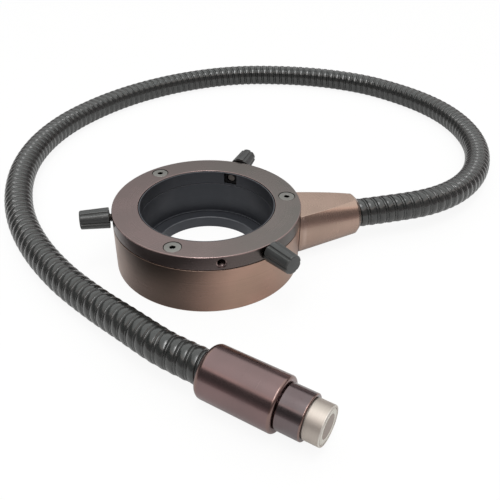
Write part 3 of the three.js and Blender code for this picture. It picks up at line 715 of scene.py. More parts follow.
class Finish(Enum):
    """The finishes of the part. A member's name names its material, and its slot too where the surface has none."""

    # The dark patch towards azimuth -133 is a painted reflection of a darker floor.
    COPPER_ANODISED = Anodised(
        (0.48, 0.30, 0.235), (0.42, 0.28, 0.215), (0.44, 0.30, 0.24), painted_dark_reflection=(-133.0, 0.2), coordinates=Coordinates.RING
    )
    # Its walls below the top face are darkened as painted shade; its tone also drifts along X.
    BROWN_ANODISED = Anodised(
        (0.225, 0.163, 0.160), (0.180, 0.163, 0.152), (0.36, 0.26, 0.25), roughness=0.27, drift=45.0,
        wall=(29.7, 0.6), mark_tone=0.05, mark_depth=0.004, coordinates=Coordinates.RING
    )
    BROWN_ANODISED_TUBE = Anodised(
        (0.245, 0.165, 0.165), (0.205, 0.145, 0.145), (0.27, 0.18, 0.16), roughness=0.22, mark_tone=0.03,
        mark_depth=0.004, slot="brown_anodised"
    )
    BROWN_ANODISED_BODY = Anodised(
        (0.175, 0.135, 0.14), (0.20, 0.18, 0.185), (0.27, 0.18, 0.16), roughness=0.22, mark_tone=0.05,
        mark_depth=0.004, slot="brown_anodised"
    )
    NECK_ANODISED = Anodised(
        (0.46, 0.325, 0.265), (0.42, 0.30, 0.245), (0.66, 0.52, 0.45), roughness=0.27, mark_tone=0.04
    )
    BLACK_ANODISED = Anodised(
        (0.074, 0.078, 0.09), (0.06, 0.065, 0.077), (0.14, 0.145, 0.16), roughness=0.4, metal=0.5, speck=0.2,
        coordinates=Coordinates.RING
    )
    KNOB_PLASTIC = Moulded(
        (0.03, 0.032, 0.032), (0.06, 0.063, 0.062), roughness=0.42, grain=0.2, depth=0.004, lines=0.3, gloss=0.6,
        coat=0.25, coat_roughness=0.12
    )
    PAD_PLASTIC = Moulded((0.006, 0.006, 0.007), (0.02, 0.02, 0.02), roughness=0.6, gloss=0.2)
    CONDUIT_COVER = Moulded(
        (0.008, 0.010, 0.010), (0.02, 0.022, 0.021), roughness=0.26, grain=0.4, depth=0.006, gloss=0.7, coat=0.6,
        coat_roughness=0.08
    )
    STEEL = replace(BARE_STEEL, coordinates=Coordinates.RING)
    # Its socket is painted near black as painted shade.
    STEEL_HEAD = replace(BARE_STEEL, painted_socket_shade=1.6)
    STEEL_STUD = Anodised(
        (0.17, 0.15, 0.14), (0.13, 0.12, 0.11), (0.26, 0.24, 0.22), roughness=0.36, coat=0.0, slot="steel"
    )
    TIP_METAL = Anodised(
        (0.58, 0.52, 0.47), (0.53, 0.475, 0.425), (0.76, 0.73, 0.68), roughness=0.54, speck=0.1, mark_tone=0.03
    )
    RESIN = PottedFibre((0.84, 0.82, 0.735), (0.90, 0.88, 0.80), cell=0.2, roughness=0.45)
    GLASS_FIBRE = PottedFibre((0.16, 0.13, 0.11), (0.30, 0.26, 0.22), coordinates=Coordinates.RING)
    GLASS_FIBRE_FACE = PottedFibre((0.20, 0.14, 0.105), (0.34, 0.24, 0.185), slot="glass_fibre")

    @property
    def slot(self) -> str:
        """The record's slot, which more than one finish may share."""
        return self.value.slot or self.name.lower()


# The workshop


class Workshop:
    """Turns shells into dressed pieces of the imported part."""

    fold = math.radians(32)
    edge_turn = 0.006

    def __init__(self) -> None:
        """Finds the ring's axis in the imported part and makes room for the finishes."""
        low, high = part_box("ring_housing")
        self.axis = Vector(((low.x + high.x) / 2, (low.y + high.y) / 2, low.z))
        self.made: dict[Finish, bpy.types.Material] = {}

    def coat(self, body: bpy.types.Object, finish: Finish) -> None:
        """Gives an object a finish as its only material.

        Args:
            body: The object.
            finish: The finish, whose material is made once.
        """
        if finish not in self.made:
            self.made[finish] = finish.value.make(finish.name.lower(), self.axis)
        body.data.materials.clear()
        body.data.materials.append(self.made[finish])

    def place(self, point: Sequence[float]) -> Vector:
        """A point of the ring's frame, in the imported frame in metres."""
        return self.axis + Vector(point) * MILLIMETRE

    def mesh(self, name: str, shell: Shell) -> bpy.types.Object:
        """An object with the shell's points and faces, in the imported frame.

        Args:
            name: The object's name.
            shell: The shell, in the ring's frame.

        Returns:
            The object, linked to the scene.
        """
        mesh = bpy.data.meshes.new(name)
        corners = np.concatenate([block.ravel() for block in shell.faces]).astype(np.int32)
        totals = np.concatenate([np.full(len(block), block.shape[1]) for block in shell.faces]).astype(np.int32)
        mesh.vertices.add(len(shell.points))
        mesh.vertices.foreach_set("co", (shell.points * MILLIMETRE + np.array(self.axis)).astype(np.float32).ravel())
        mesh.loops.add(len(corners))
        mesh.loops.foreach_set("vertex_index", corners)
        mesh.polygons.add(len(totals))
        mesh.polygons.foreach_set("loop_start", np.concatenate([[0], np.cumsum(totals)[:-1]]).astype(np.int32))
        mesh.polygons.foreach_set("loop_total", totals)
        mesh.update(calc_edges=True)
        mesh.validate()
        made = bpy.data.objects.new(name, mesh)
        bpy.context.scene.collection.objects.link(made)
        return made

    def carve(self, body: bpy.types.Object, tool: Shell, operation: str) -> None:
        """Cuts a shell out of a body, or joins it on, with an exact boolean that is applied at once.

        Args:
            body: The object to change.
            tool: The shell, which doesn't cross itself.
            operation: DIFFERENCE or UNION.
        """
        cutter = self.mesh("tool", tool)
        change = body.modifiers.new("change", "BOOLEAN")
        change.operation, change.solver, change.object = operation, "EXACT", cutter
        evaluated = body.evaluated_get(bpy.context.evaluated_depsgraph_get())
        result = bpy.data.meshes.new_from_object(evaluated)
        body.modifiers.clear()
        old, body.data = body.data, result
        for spare in (old, cutter.data):
            bpy.data.meshes.remove(spare)
        result.name = body.name

    @staticmethod
    def read(items: bpy.types.bpy_prop_collection, name: str, width: int = 1, kind: type = np.float32) -> Array:
        """One property of all of a mesh's points, corners or faces.

        Args:
            items: The points, corners or faces.
            name: The property.
            width: How many numbers each has.
            kind: The type of the numbers.

        Returns:
            The numbers, with a row for each item where it has more than one.
        """
        values = np.empty(len(items) * width, kind)
        items.foreach_get(name, values)
        return values.reshape(-1, width) if width > 1 else values

    def corner_normals(self, mesh: bpy.types.Mesh, vertex: Array, face: Array, normal: Array) -> Array:
        """The normals of a mesh's corners.

        A corner's normal is the mean, weighted by area, of the faces round its vertex that turn from its own face by
        less than the fold angle.

        Args:
            mesh: The mesh.
            vertex: The vertex of each corner.
            face: The face of each corner.
            normal: The normal of each face.

        Returns:
            A unit normal for each corner.
        """
        area = self.read(mesh.polygons, "area")
        count = len(vertex)
        order = np.argsort(vertex, kind="stable")
        sizes = np.bincount(vertex, minlength=len(mesh.vertices))
        starts = np.cumsum(sizes) - sizes
        own = face[order]
        first, size = starts[vertex[order]], sizes[vertex[order]]
        rank = np.arange(count) - first
        gathered = np.zeros((count, 3))
        for k in range(int(sizes.max())):
            active = np.flatnonzero(size > k)
            other = own[first[active] + (rank[active] + k) % size[active]]
            near = np.einsum("ij,ij->i", normal[own[active]], normal[other]) > math.cos(self.fold)
            gathered[active[near]] += normal[other[near]] * area[other[near]][:, None]
        length = np.linalg.norm(gathered, axis=1, keepdims=True)
        corner = np.empty((count, 3))
        corner[order] = np.where(length > 1e-12, gathered / np.maximum(length, 1e-12), normal[own])
        return corner

    def shade(self, body: bpy.types.Object, frame: Matrix) -> None:
        """Gives a mesh its corner normals, its edge mask and its own coordinates.

        The edge mask is how far a corner's normal stands off its face, which is large on small rounded edges and near
        nothing on flats and large curves. A point's own place is in millimetres in the frame.

        Args:
            body: The object.
            frame: The frame in which the piece was made.
        """
        mesh = body.data
        total = self.read(mesh.polygons, "loop_total", kind=np.int32)
        face = np.repeat(np.arange(len(total)), total)
        normal = self.read(mesh.polygons, "normal", 3).astype(float)
        corner = self.corner_normals(mesh, self.read(mesh.loops, "vertex_index", kind=np.int32), face, normal)
        mesh.polygons.foreach_set("use_smooth", np.ones(len(total), bool))
        mesh.normals_split_custom_set(corner.astype(np.float32))
        off = 1 - np.einsum("ij,ij->i", corner, normal[face])
        edge = mesh.attributes.new("edge", "FLOAT", "CORNER")
        edge.data.foreach_set("value", np.clip(off / self.edge_turn, 0, 1).astype(np.float32))
        inner = np.array(frame.inverted())
        ring = (self.read(mesh.vertices, "co", 3) - np.array(self.axis)) / MILLIMETRE
        local = ring @ inner[:3, :3].T + inner[:3, 3]
        kept = mesh.attributes.new("own_place", "FLOAT_VECTOR", "POINT")
        kept.data.foreach_set("vector", local.astype(np.float32).ravel())

    def piece(
        self,
        name: str,
        shell: Shell,
        finish: Finish,
        nodes: Sequence[str],
        body: str = "root",
        frame: Matrix | None = None,
        cuts: Sequence[Shell] = (),
        adds: Sequence[Shell] = (),
    ) -> bpy.types.Object:
        """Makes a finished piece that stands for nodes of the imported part.

        Args:
            name: The piece's name.
            shell: Its shape, in its own frame.
            finish: Its finish.
            nodes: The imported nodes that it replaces.
            body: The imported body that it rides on.
            frame: Its own frame in the ring's frame.
            cuts: Shells to cut from it, in its own frame.
            adds: Shells to join to it first, in its own frame.

        Returns:
            The piece.
        """
        frame = frame or Matrix.Identity(4)
        made = self.mesh(name, shell.moved(frame).outward())
        for operation, tools in (("UNION", adds), ("DIFFERENCE", cuts)):
            for tool in tools:
                self.carve(made, tool.moved(frame).outward(), operation)
        self.shade(made, frame)
        self.coat(made, finish)
        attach(made, body)
        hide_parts(*nodes)
        finish.slot
        LOG.info("%s: %d faces", name, len(made.data.polygons))
        return made

    def dress(self, nodes: Sequence[str], finish: Finish) -> None:
        """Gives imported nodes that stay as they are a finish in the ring's coordinates.

        Args:
            nodes: The nodes' names.
            finish: The finish.
        """
        for name in nodes:
            self.coat(bpy.data.objects[name], finish)
            LOG.info("%s: dressed", name)


# The studio


@dataclass(frozen=True)
class Lamp:
    """A soft rectangular lamp that points at the origin: its place and size are in metres, its power in watts."""

    name: str
    spot: tuple[float, float, float]
    size: tuple[float, float]
    power: float

    def build(self) -> None:
        """Adds the lamp to the scene."""
        data = bpy.data.lights.new(self.name, "AREA")
        data.shape, data.size, data.size_y, data.energy = "RECTANGLE", *self.size, self.power
        lamp, spot = bpy.data.objects.new(self.name, data), Vector(self.spot)
        lamp.matrix_world = Matrix.Translation(spot) @ (-spot).to_track_quat("-Z", "Y").to_matrix().to_4x4()
        bpy.context.scene.collection.objects.link(lamp)


@dataclass
class Studio:
    """The camera at the photograph's place, a pale floor, and the soft light of a white room with a darker side.

    The eye is in the ring's frame, in millimetres, and the focal length in pixels of a frame as wide as is said. The
    glossy values are how much of the plain background glossy rays see.
    """

    shop: Workshop
    eye: tuple[float, float, float] = (-47.4, -256.0, 184.9)
    ahead: tuple[float, float, float] = (0.2139, 0.7900, -0.5746)
    level: tuple[float, float, float] = (0.9652, -0.2613, 0.0)
    roll: float = 1.02
    focal_pixels: float = 625.47
    frame_pixels: float = 500.0
    sensor: float = 36.0
    clip: tuple[float, float] = (0.01, 50.0)
    floor_size: float = 6000.0
    floor_colour: float = 0.7
    floor_glow: float = 1.05
    floor_share: float = 0.86
    floor_glossy: float = 0.3
    room_glossy: float = 0.12
    lamps: tuple[Lamp, ...] = (
        Lamp("strip_lamp", (-0.26, -0.45, 1.3), (0.24, 1.0), 4.4), Lamp("top_lamp", (0.1, -0.1, 1.4), (0.5, 0.5), 2.0)
    )

    def camera(self) -> None:
        """Sets up the camera: level right and ahead directions, then a small roll about the line of sight."""
        ahead, level = Vector(self.ahead).normalized(), Vector(self.level).normalized()
        rise = level.cross(ahead)
        tilt = math.radians(self.roll)
        right = level * math.cos(tilt) + rise * math.sin(tilt)
        above = right.cross(ahead)
        data = bpy.data.cameras.new("camera")
        data.sensor_width = self.sensor
        data.lens = self.focal_pixels / self.frame_pixels * self.sensor
        data.clip_start, data.clip_end = self.clip
        camera = bpy.data.objects.new("camera", data)
        turn = Matrix((right, above, -ahead)).transposed().to_4x4()
        camera.matrix_world = Matrix.Translation(self.shop.place(self.eye)) @ turn
        bpy.context.scene.collection.objects.link(camera)
        bpy.context.scene.camera = camera

    def floor(self) -> None:
        """A plain pale floor that glows white to the camera and partly in reflections, and keeps part of the shadow."""
        half = self.floor_size / 2
        points = np.array([[-half, -half, 0], [half, -half, 0], [half, half, 0], [-half, half, 0]], float)
        floor = self.shop.mesh("floor", Shell(points, [np.array([[0, 1, 2, 3]])]))
        material = bpy.data.materials.new("floor")
        tree = Tree.of(material)
        share = tree.times(tree.background(self.floor_glossy), self.floor_share)
        paint = tree.node("ShaderNodeBsdfDiffuse", {"Color": (*[self.floor_colour] * 3, 1)})
        glow = tree.node("ShaderNodeEmission", {"Color": (1, 1, 1, 1), "Strength": self.floor_glow})
        tree.close(tree.node("ShaderNodeMixShader", {0: share, 1: paint.outputs[0], 2: glow.outputs[0]}))
        floor.data.materials.append(material)

    def world(self) -> None:
        """The room: white to the camera; for light and reflections a bright ceiling, a bright back and a dark rest.

        The ceiling starts at a height that falls towards the back. A warm, brighter band runs along its front edge.
        The rest is a reddish dark that grows paler to the right and towards the floor. Reflections see it with a
        share of the plain white over it, because the photographed metal has dark bands.
        """
        world = bpy.data.worlds.new("room")
        bpy.context.scene.world = world
        tree = Tree.of(world)
        right, back, up = tree.split(tree.node("ShaderNodeTexCoord").outputs["Generated"])
        rear = tree.plus(tree.times(right, 0.55), tree.times(back, 0.83))
        height = tree.plus(up, tree.step(rear, 0.0, 0.6, 0.0, 0.24))
        ceiling = tree.step(height, 0.65, 0.73)
        band = tree.times(tree.step(height, 0.66, 0.72), tree.step(height, 0.80, 0.74))
        band = tree.times(band, tree.step(back, 0.3, -0.1))
        low = tree.plus(tree.step(right, -0.75, 0.1, 0.0, 0.09), tree.step(up, 0.35, 0.0, 0.0, 0.2))
        tints = {k: tree.times(low, share) for k, share in enumerate((1.12, 0.9, 0.92))}
        room = tree.node("ShaderNodeCombineColor", tints).outputs[0]
        room = tree.mix(band, tree.mix(ceiling, room, (1.12, 1.15, 1.13)), (1.5, 1.28, 1.18))
        colour = tree.mix(tree.background(self.room_glossy), room, (1.0, 1.0, 1.0))
        background = tree.node("ShaderNodeBackground", {"Color": colour, "Strength": 1.0})
        tree.node("ShaderNodeOutputWorld", {"Surface": background.outputs[0]})

    def build(self) -> None:
        """Builds the whole studio."""
        self.camera()
        self.floor()
        self.world()
        for lamp in self.lamps:
            lamp.build()
        bpy.context.scene.view_settings.view_transform = "Standard"
        LOG.info("studio built")


# The light conduit


@dataclass
class Conduit:
    """The ribbed conduit: a helical band of ribs along a smooth route from the neck to the ferrule.

    Depths of the rib are from the diameter inwards. The margin is how far the winding part stays off each end.
    """

    shop: Workshop
    diameter: float = 14.9
    bore: float = 11.0
    groove: float = 0.62
    bead: float = 0.2
    crown: float = 0.16
    shoulder: float = 1.3
    ribs: int = 168
    around: int = 28
    margin: float = 0.06
    path_points: int = 420
    axis_height: float = 13.2
    neck_shoulder: float = 66.5
    neck_end: float = 78.2
    ferrule_mouth: tuple[float, float, float] = (-18.1, -89.9, 11.2)
    ferrule_azimuth: float = -46.0
    socket_run: float = 11.7
    half_phases: tuple[float, ...] = (0.0, 0.05, 0.09, 0.13, 0.17, 0.21, 0.26, 0.33, 0.41)
    bends: tuple[tuple[float, float, float], ...] = (
        (118, 1.6, 12.9), (134.5, 6.6, 12.2), (150, 15.2, 11.3), (165, 28, 10.2), (178, 44, 9.2), (188.6, 62.5, 8.4),
        (195.8, 83, 7.8), (199, 104, 7.5), (197.8, 125, 7.5), (192, 146, 7.5), (181.5, 167, 7.5), (167, 187, 7.5),
        (148.5, 203, 7.5), (127, 215.5, 7.5), (103, 224.5, 7.5), (77.5, 230, 7.5), (52, 230, 7.5), (26, 225, 7.5),
        (0.5, 215.5, 7.5), (-23.5, 202, 7.5), (-46, 184, 7.5), (-65.5, 162.5, 7.5), (-80.5, 137, 7.5),
        (-90, 108.5, 7.5), (-93.6, 78, 7.5), (-91.5, 46, 7.5), (-83.8, 15.5, 7.5), (-71.4, -13.2, 7.6),
        (-57.4, -37, 8.4), (-45.5, -56, 10.4), (-33.6, -73.7, 11.5),
    )

    def route(self) -> Array:
        """The points that the conduit's middle passes through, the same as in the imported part's source.

        Returns:
            The points: the straight run in the neck, the bends and the straight run in the ferrule.
        """
        angle = math.radians(self.ferrule_azimuth)
        ahead, mouth = np.array([math.cos(angle), math.sin(angle), 0]), np.array(self.ferrule_mouth)
        start = [[x, 0, self.axis_height] for x in (self.neck_shoulder, self.neck_end, self.neck_end + self.diameter)]
        end = [mouth + ahead * d for d in (-self.diameter, 0, self.socket_run)]
        return np.vstack([start, self.bends, end])

    def centreline(self, per_span: int = 240) -> tuple[Array, Array, Array]:
        """The route as one smooth line.

        Each span is a cubic between two points. Its end slopes come from the neighbours with the square root of the
        distances as the spacing, so that it neither loops nor overshoots.

        Args:
            per_span: The number of steps of each span.

        Returns:
            The points, the unit tangents and the distance of each along the line.
        """
        inner = self.route()
        knots = np.vstack([2 * inner[0] - inner[1], inner, 2 * inner[-1] - inner[-2]])
        gap = np.sqrt(np.linalg.norm(np.diff(knots, axis=0), axis=1))[:, None]
        before, here, after, beyond = knots[:-3], knots[1:-2], knots[2:-1], knots[3:]
        d0, d1, d2 = gap[:-2], gap[1:-1], gap[2:]
        slope_in = ((here - before) / d0 - (after - before) / (d0 + d1) + (after - here) / d1) * d1
        slope_out = ((after - here) / d1 - (beyond - here) / (d1 + d2) + (beyond - after) / d2) * d1
        t = np.linspace(0, 1, per_span, endpoint=False)[None, :, None]
        a, b = here[:, None], after[:, None]
        m, n = slope_in[:, None], slope_out[:, None]
        line = (2 * t**3 - 3 * t**2 + 1) * a + (t**3 - 2 * t**2 + t) * m + (3 * t**2 - 2 * t**3) * b + (t**3 - t**2) * n
        points = np.vstack([line.reshape(-1, 3), inner[-1]])
        tangents = np.gradient(points, axis=0)
        tangents /= np.linalg.norm(tangents, axis=1, keepdims=True)
        run = np.concatenate([[0], np.cumsum(np.linalg.norm(np.diff(points, axis=0), axis=1))])
        return points, tangents, run

    def sweep(self, distance: Array, radius: Array, angle: Array) -> Array:
        """Points round the centreline.

        Args:
            distance: How far along the line each point lies.
            radius: How far from the line.
            angle: Where round the line, from its side towards its top.

        Returns:
            The points, with a last axis of three.
        """
        points, tangents, run = self.centreline()
        middle = np.stack([np.interp(distance, run, points[:, k]) for k in range(3)], -1)
        along = np.stack([np.interp(distance, run, tangents[:, k]) for k in range(3)], -1)
        along /= np.linalg.norm(along, axis=-1, keepdims=True)
        side = np.cross([0.0, 0.0, 1.0], along)
        side /= np.linalg.norm(side, axis=-1, keepdims=True)
        above = np.cross(along, side)
        return middle + radius[..., None] * (np.cos(angle)[..., None] * side + np.sin(angle)[..., None] * above)

    @property
    def phases(self) -> Array:
        """The places in one pitch at which the skin has rows, closer together about the grooves."""
        half = np.array(self.half_phases)
        return np.concatenate([half, [0.5], 1 - half[:0:-1]])

    def rib(self, phase: Array) -> Array:
        """The radius over one pitch: a thin bead at 0 between two narrow grooves, then a broad rounded rib.

        Up to the shoulder the depth is read between fixed places. Beyond it the depth falls as the square of what is
        left to the middle of the rib.

        Args:
            phase: The places, as parts of a pitch.

        Returns:
            The radius at each.
        """
        pitch = self.centreline()[2][-1] / self.ribs
        off = np.minimum(phase % 1, 1 - phase % 1) * pitch
        places = (0.0, 0.25, 0.45, 0.65, 0.85, 1.05, self.shoulder)
        drops = (self.bead, self.bead + 0.05, 0.42, self.groove, 0.44, self.crown + 0.06, self.crown)
        broad = self.crown * (1 - np.clip((off - self.shoulder) / (pitch / 2 - self.shoulder), 0, 1)) ** 2
        return self.diameter / 2 - np.where(off < self.shoulder, np.interp(off, places, drops), broad)

    def skin(self) -> Shell:
        """The outer skin on a grid that follows the helix, with plane ends in the sockets, and the plain bore.

        Column j of the grid is turned by j parts of a turn and starts the same part of a pitch further on, so that
        the ribs wind. After a full turn the grid meets itself one pitch on.

        Returns:
            The skin.
        """
        length = self.centreline()[2][-1]
        count, columns = len(self.phases), self.around
        rows = np.arange(-count, (self.ribs + 1) * count)
        phase = self.phases[rows % count]
        distance = ((rows // count + phase)[:, None] + np.arange(columns) / columns) * (length / self.ribs)
        valid = (distance > self.margin) & (distance < length - self.margin)
        radius = np.broadcast_to(self.rib(phase)[:, None], distance.shape)
        angle = np.broadcast_to(circle(columns), distance.shape)
        label = np.full(distance.shape, -1)
        label[valid] = np.arange(int(valid.sum()))
        beyond = np.full((len(rows), 1), -1)
        beyond[:-count, 0] = label[count:, 0]
        wide = np.hstack([label, beyond])
        corners = np.stack([wide[:-1, :-1], wide[1:, :-1], wide[1:, 1:], wide[:-1, 1:]], -1).reshape(-1, 4)
        quads = corners[(corners >= 0).all(1)]
        rim, hole = self.diameter / 2 - self.groove, self.bore / 2
        stations = np.linspace(0, length, self.ribs // 2 + 1)[1:-1]
        place = np.concatenate([[0, 0, length, length], stations])[:, None]
        reach = np.concatenate([[rim, hole, rim, hole], np.full(len(stations), hole)])[:, None]
        shape = (len(place), columns)
        plain = [np.broadcast_to(values, shape).ravel() for values in (place, reach, circle(columns))]
        points = np.vstack([self.sweep(distance[valid], radius[valid], angle[valid]), self.sweep(*plain)])
        numbers = np.arange(int(valid.sum()), len(points)).reshape(shape)
        near_rim, near_hole, far_rim, far_hole, *inside = numbers
        inner = np.array([near_hole, *inside, far_hole])
        after = np.roll(inner, -1, 1)
        wall = np.stack([inner[:-1], after[:-1], after[1:], inner[1:]], -1).reshape(-1, 4)
        near = np.stack([near_hole, np.roll(near_hole, -1), np.roll(near_rim, -1), near_rim], -1)
        far = np.stack([np.roll(far_rim, -1), np.roll(far_hole, -1), far_hole, far_rim], -1)
        return Shell(points, [quads[:, ::-1], self.wedges(wide, near_rim, far_rim), wall, near, far])

    @staticmethod
    def wedges(wide: Array, first_rim: Array, last_rim: Array) -> Array:
        """The triangles between the plane end rings and the first and last points of the winding grid.

        Args:
            wide: The grid's point numbers, -1 where there is none, with the first column repeated one pitch on.
            first_rim: The point numbers of the ring at the start.
            last_rim: The point numbers of the ring at the end.

        Returns:
            The triangles.
        """
        found: list[list[int]] = []
        columns = wide.shape[1] - 1
        for j in range(columns):
            left, right = np.flatnonzero(wide[:, j] >= 0), np.flatnonzero(wide[:, j + 1] >= 0)
            for rim, pick, step, meeting in ((first_rim, 0, 1, max), (last_rim, -1, -1, min)):
                a, b = left[pick], right[pick]
                meet = meeting(a, b)
                chain = [int(rim[j]), int(rim[(j + 1) % columns])]
                chain += [int(wide[i, j + 1]) for i in range(b, meet + step, step)]
                chain += [int(wide[i, j]) for i in range(meet, a - step, -step)]
                found += [[chain[0], *pair][::step] for pair in zip(chain[1:], chain[2:])]
        return np.array(found)

    def build(self, with_pieces: Sequence[bpy.types.Object]) -> None:
        """Args:
            with_pieces: The pieces on its far end; not used.
        """
        piece = self.shop.piece("conduit", self.skin(), Finish.CONDUIT_COVER, ["light_conduit"])
        points, _, run = self.centreline()
        steps = np.linspace(0, run[-1], self.path_points)
        path = np.stack([np.interp(steps, run, points[:, k]) for k in range(3)], -1)
        placed = path * MILLIMETRE + np.array(self.shop.axis)
        tuple(self.shop.place((self.neck_end, 0, self.axis_height)))
        LOG.info("conduit: %.1f mm long", run[-1])


# The ferrule


@dataclass
class Ferrule:
    """The stepped metal end of the conduit: sleeve, body and tip with the potted, polished fibres in it.

    Places along it are measured from the sleeve's mouth. The room is left between two parts that fit together.
    """

    shop: Workshop
    mouth: tuple[float, float, float] = (-18.1, -89.9, 11.2)
    azimuth: float = -46.0
    room: float = 0.3
    sleeve_radius: float = 11.2
    sleeve_length: float = 33.0
    set_screw: float = 6.0
    socket_radius: float = 7.75
    socket_depth: float = 12.0
    spigot_bore: float = 8.0
    passage: float = 5.3
    body_radius: float = 9.15
    body_front: float = 43.6
    seat_radius: float = 7.6
    seat_depth: float = 6.0
    tip_radius: float = 7.9
    tip_bore: float = 6.85
    tip_spigot: float = 5.0
    tip_front: float = 50.6
    potting_radius: float = 6.72
    potting_start: float = 41.6
    fibre_radius: float = 4.75
    face_depth: float = 0.12
    sides: int = 160

    def sleeve(self) -> Shell:
        """The sleeve's tube, with the conduit's socket at its mouth and a wider bore for the body's spigot.

        Returns:
            The tube, in the ferrule's frame.
        """
        return lathe([
            (self.socket_radius, 0, 0.3), (self.sleeve_radius, 0, 2.4), (self.sleeve_radius, self.sleeve_length, 1.2),
            (self.spigot_bore, self.sleeve_length, 0.2), (self.spigot_bore, self.socket_depth, 0),
            (self.socket_radius, self.socket_depth, 0),
        ], self.sides, steps=8)

    def body(self) -> Shell:
        """The body: a spigot in the sleeve, a shoulder, a plain barrel and the seat of the tip.

        Returns:
            The body, in the ferrule's frame.
        """
        spigot, start = self.spigot_bore - self.room, self.socket_depth + self.room
        back, front = self.sleeve_length + self.room, self.body_front
        return lathe([
            (self.passage, start, 0), (spigot, start, 0.2), (spigot, back, 0), (self.body_radius, back, 0.35),
            (self.body_radius, front, 0.55), (self.seat_radius, front, 0.15),
            (self.seat_radius, front - self.seat_depth, 0), (self.passage, front - self.seat_depth, 0),
        ], self.sides)

    def tip(self) -> Shell:
        """The pale tip with its spigot and its rounded front edge.

        Returns:
            The tip, in the ferrule's frame.
        """
        spigot, start = self.seat_radius - self.room, self.body_front - self.tip_spigot
        back, front = self.body_front + self.room, self.tip_front
        return lathe([
            (self.tip_bore, start, 0), (spigot, start, 0.1), (spigot, back, 0), (self.tip_radius, back, 0.15),
            (self.tip_radius, front, 0.4), (self.tip_bore, front, 0.08),
        ], self.sides)

    def potting(self) -> Shell:
        """The ring of resin between the fibres and the tip.

        Returns:
            The ring, in the ferrule's frame.
        """
        inner, start, face = self.fibre_radius + 0.03, self.potting_start, self.tip_front - self.face_depth
        return lathe([
            (inner, start, 0), (self.potting_radius, start, 0), (self.potting_radius, face, 0.06), (inner, face, 0.03)
        ], self.sides)

    def build(self) -> list[bpy.types.Object]:
        """Builds the pieces of the ferrule.

        Returns:
            The pieces, for the cord that they end.
        """
        core = rod(self.fibre_radius, self.potting_start, self.tip_front - self.face_depth + 0.02, self.sides)
        hole = hole_below(self.sleeve_radius, self.set_screw)
        plan = (
            ("ferrule_sleeve_tube", self.sleeve(), Finish.BROWN_ANODISED_TUBE, "ferrule_sleeve", [hole]),
            ("ferrule_stepped_body", self.body(), Finish.BROWN_ANODISED_BODY, "ferrule_body", []),
            ("ferrule_pale_tip", self.tip(), Finish.TIP_METAL, "ferrule_tip", []),
            ("potting_ring", self.potting(), Finish.RESIN, "ferrule_potting", []),
            ("polished_fibres", core, Finish.GLASS_FIBRE_FACE, "fibre_face", []),
        )
        frame = lying(self.azimuth, self.mouth)
        made = [
            self.shop.piece(name, shell, finish, [node], frame=frame, cuts=cuts)
            for name, shell, finish, node, cuts in plan
        ]
        return [*made, bpy.data.objects["sleeve_set_screw"], bpy.data.objects["fibre_bundle"]]


# The head


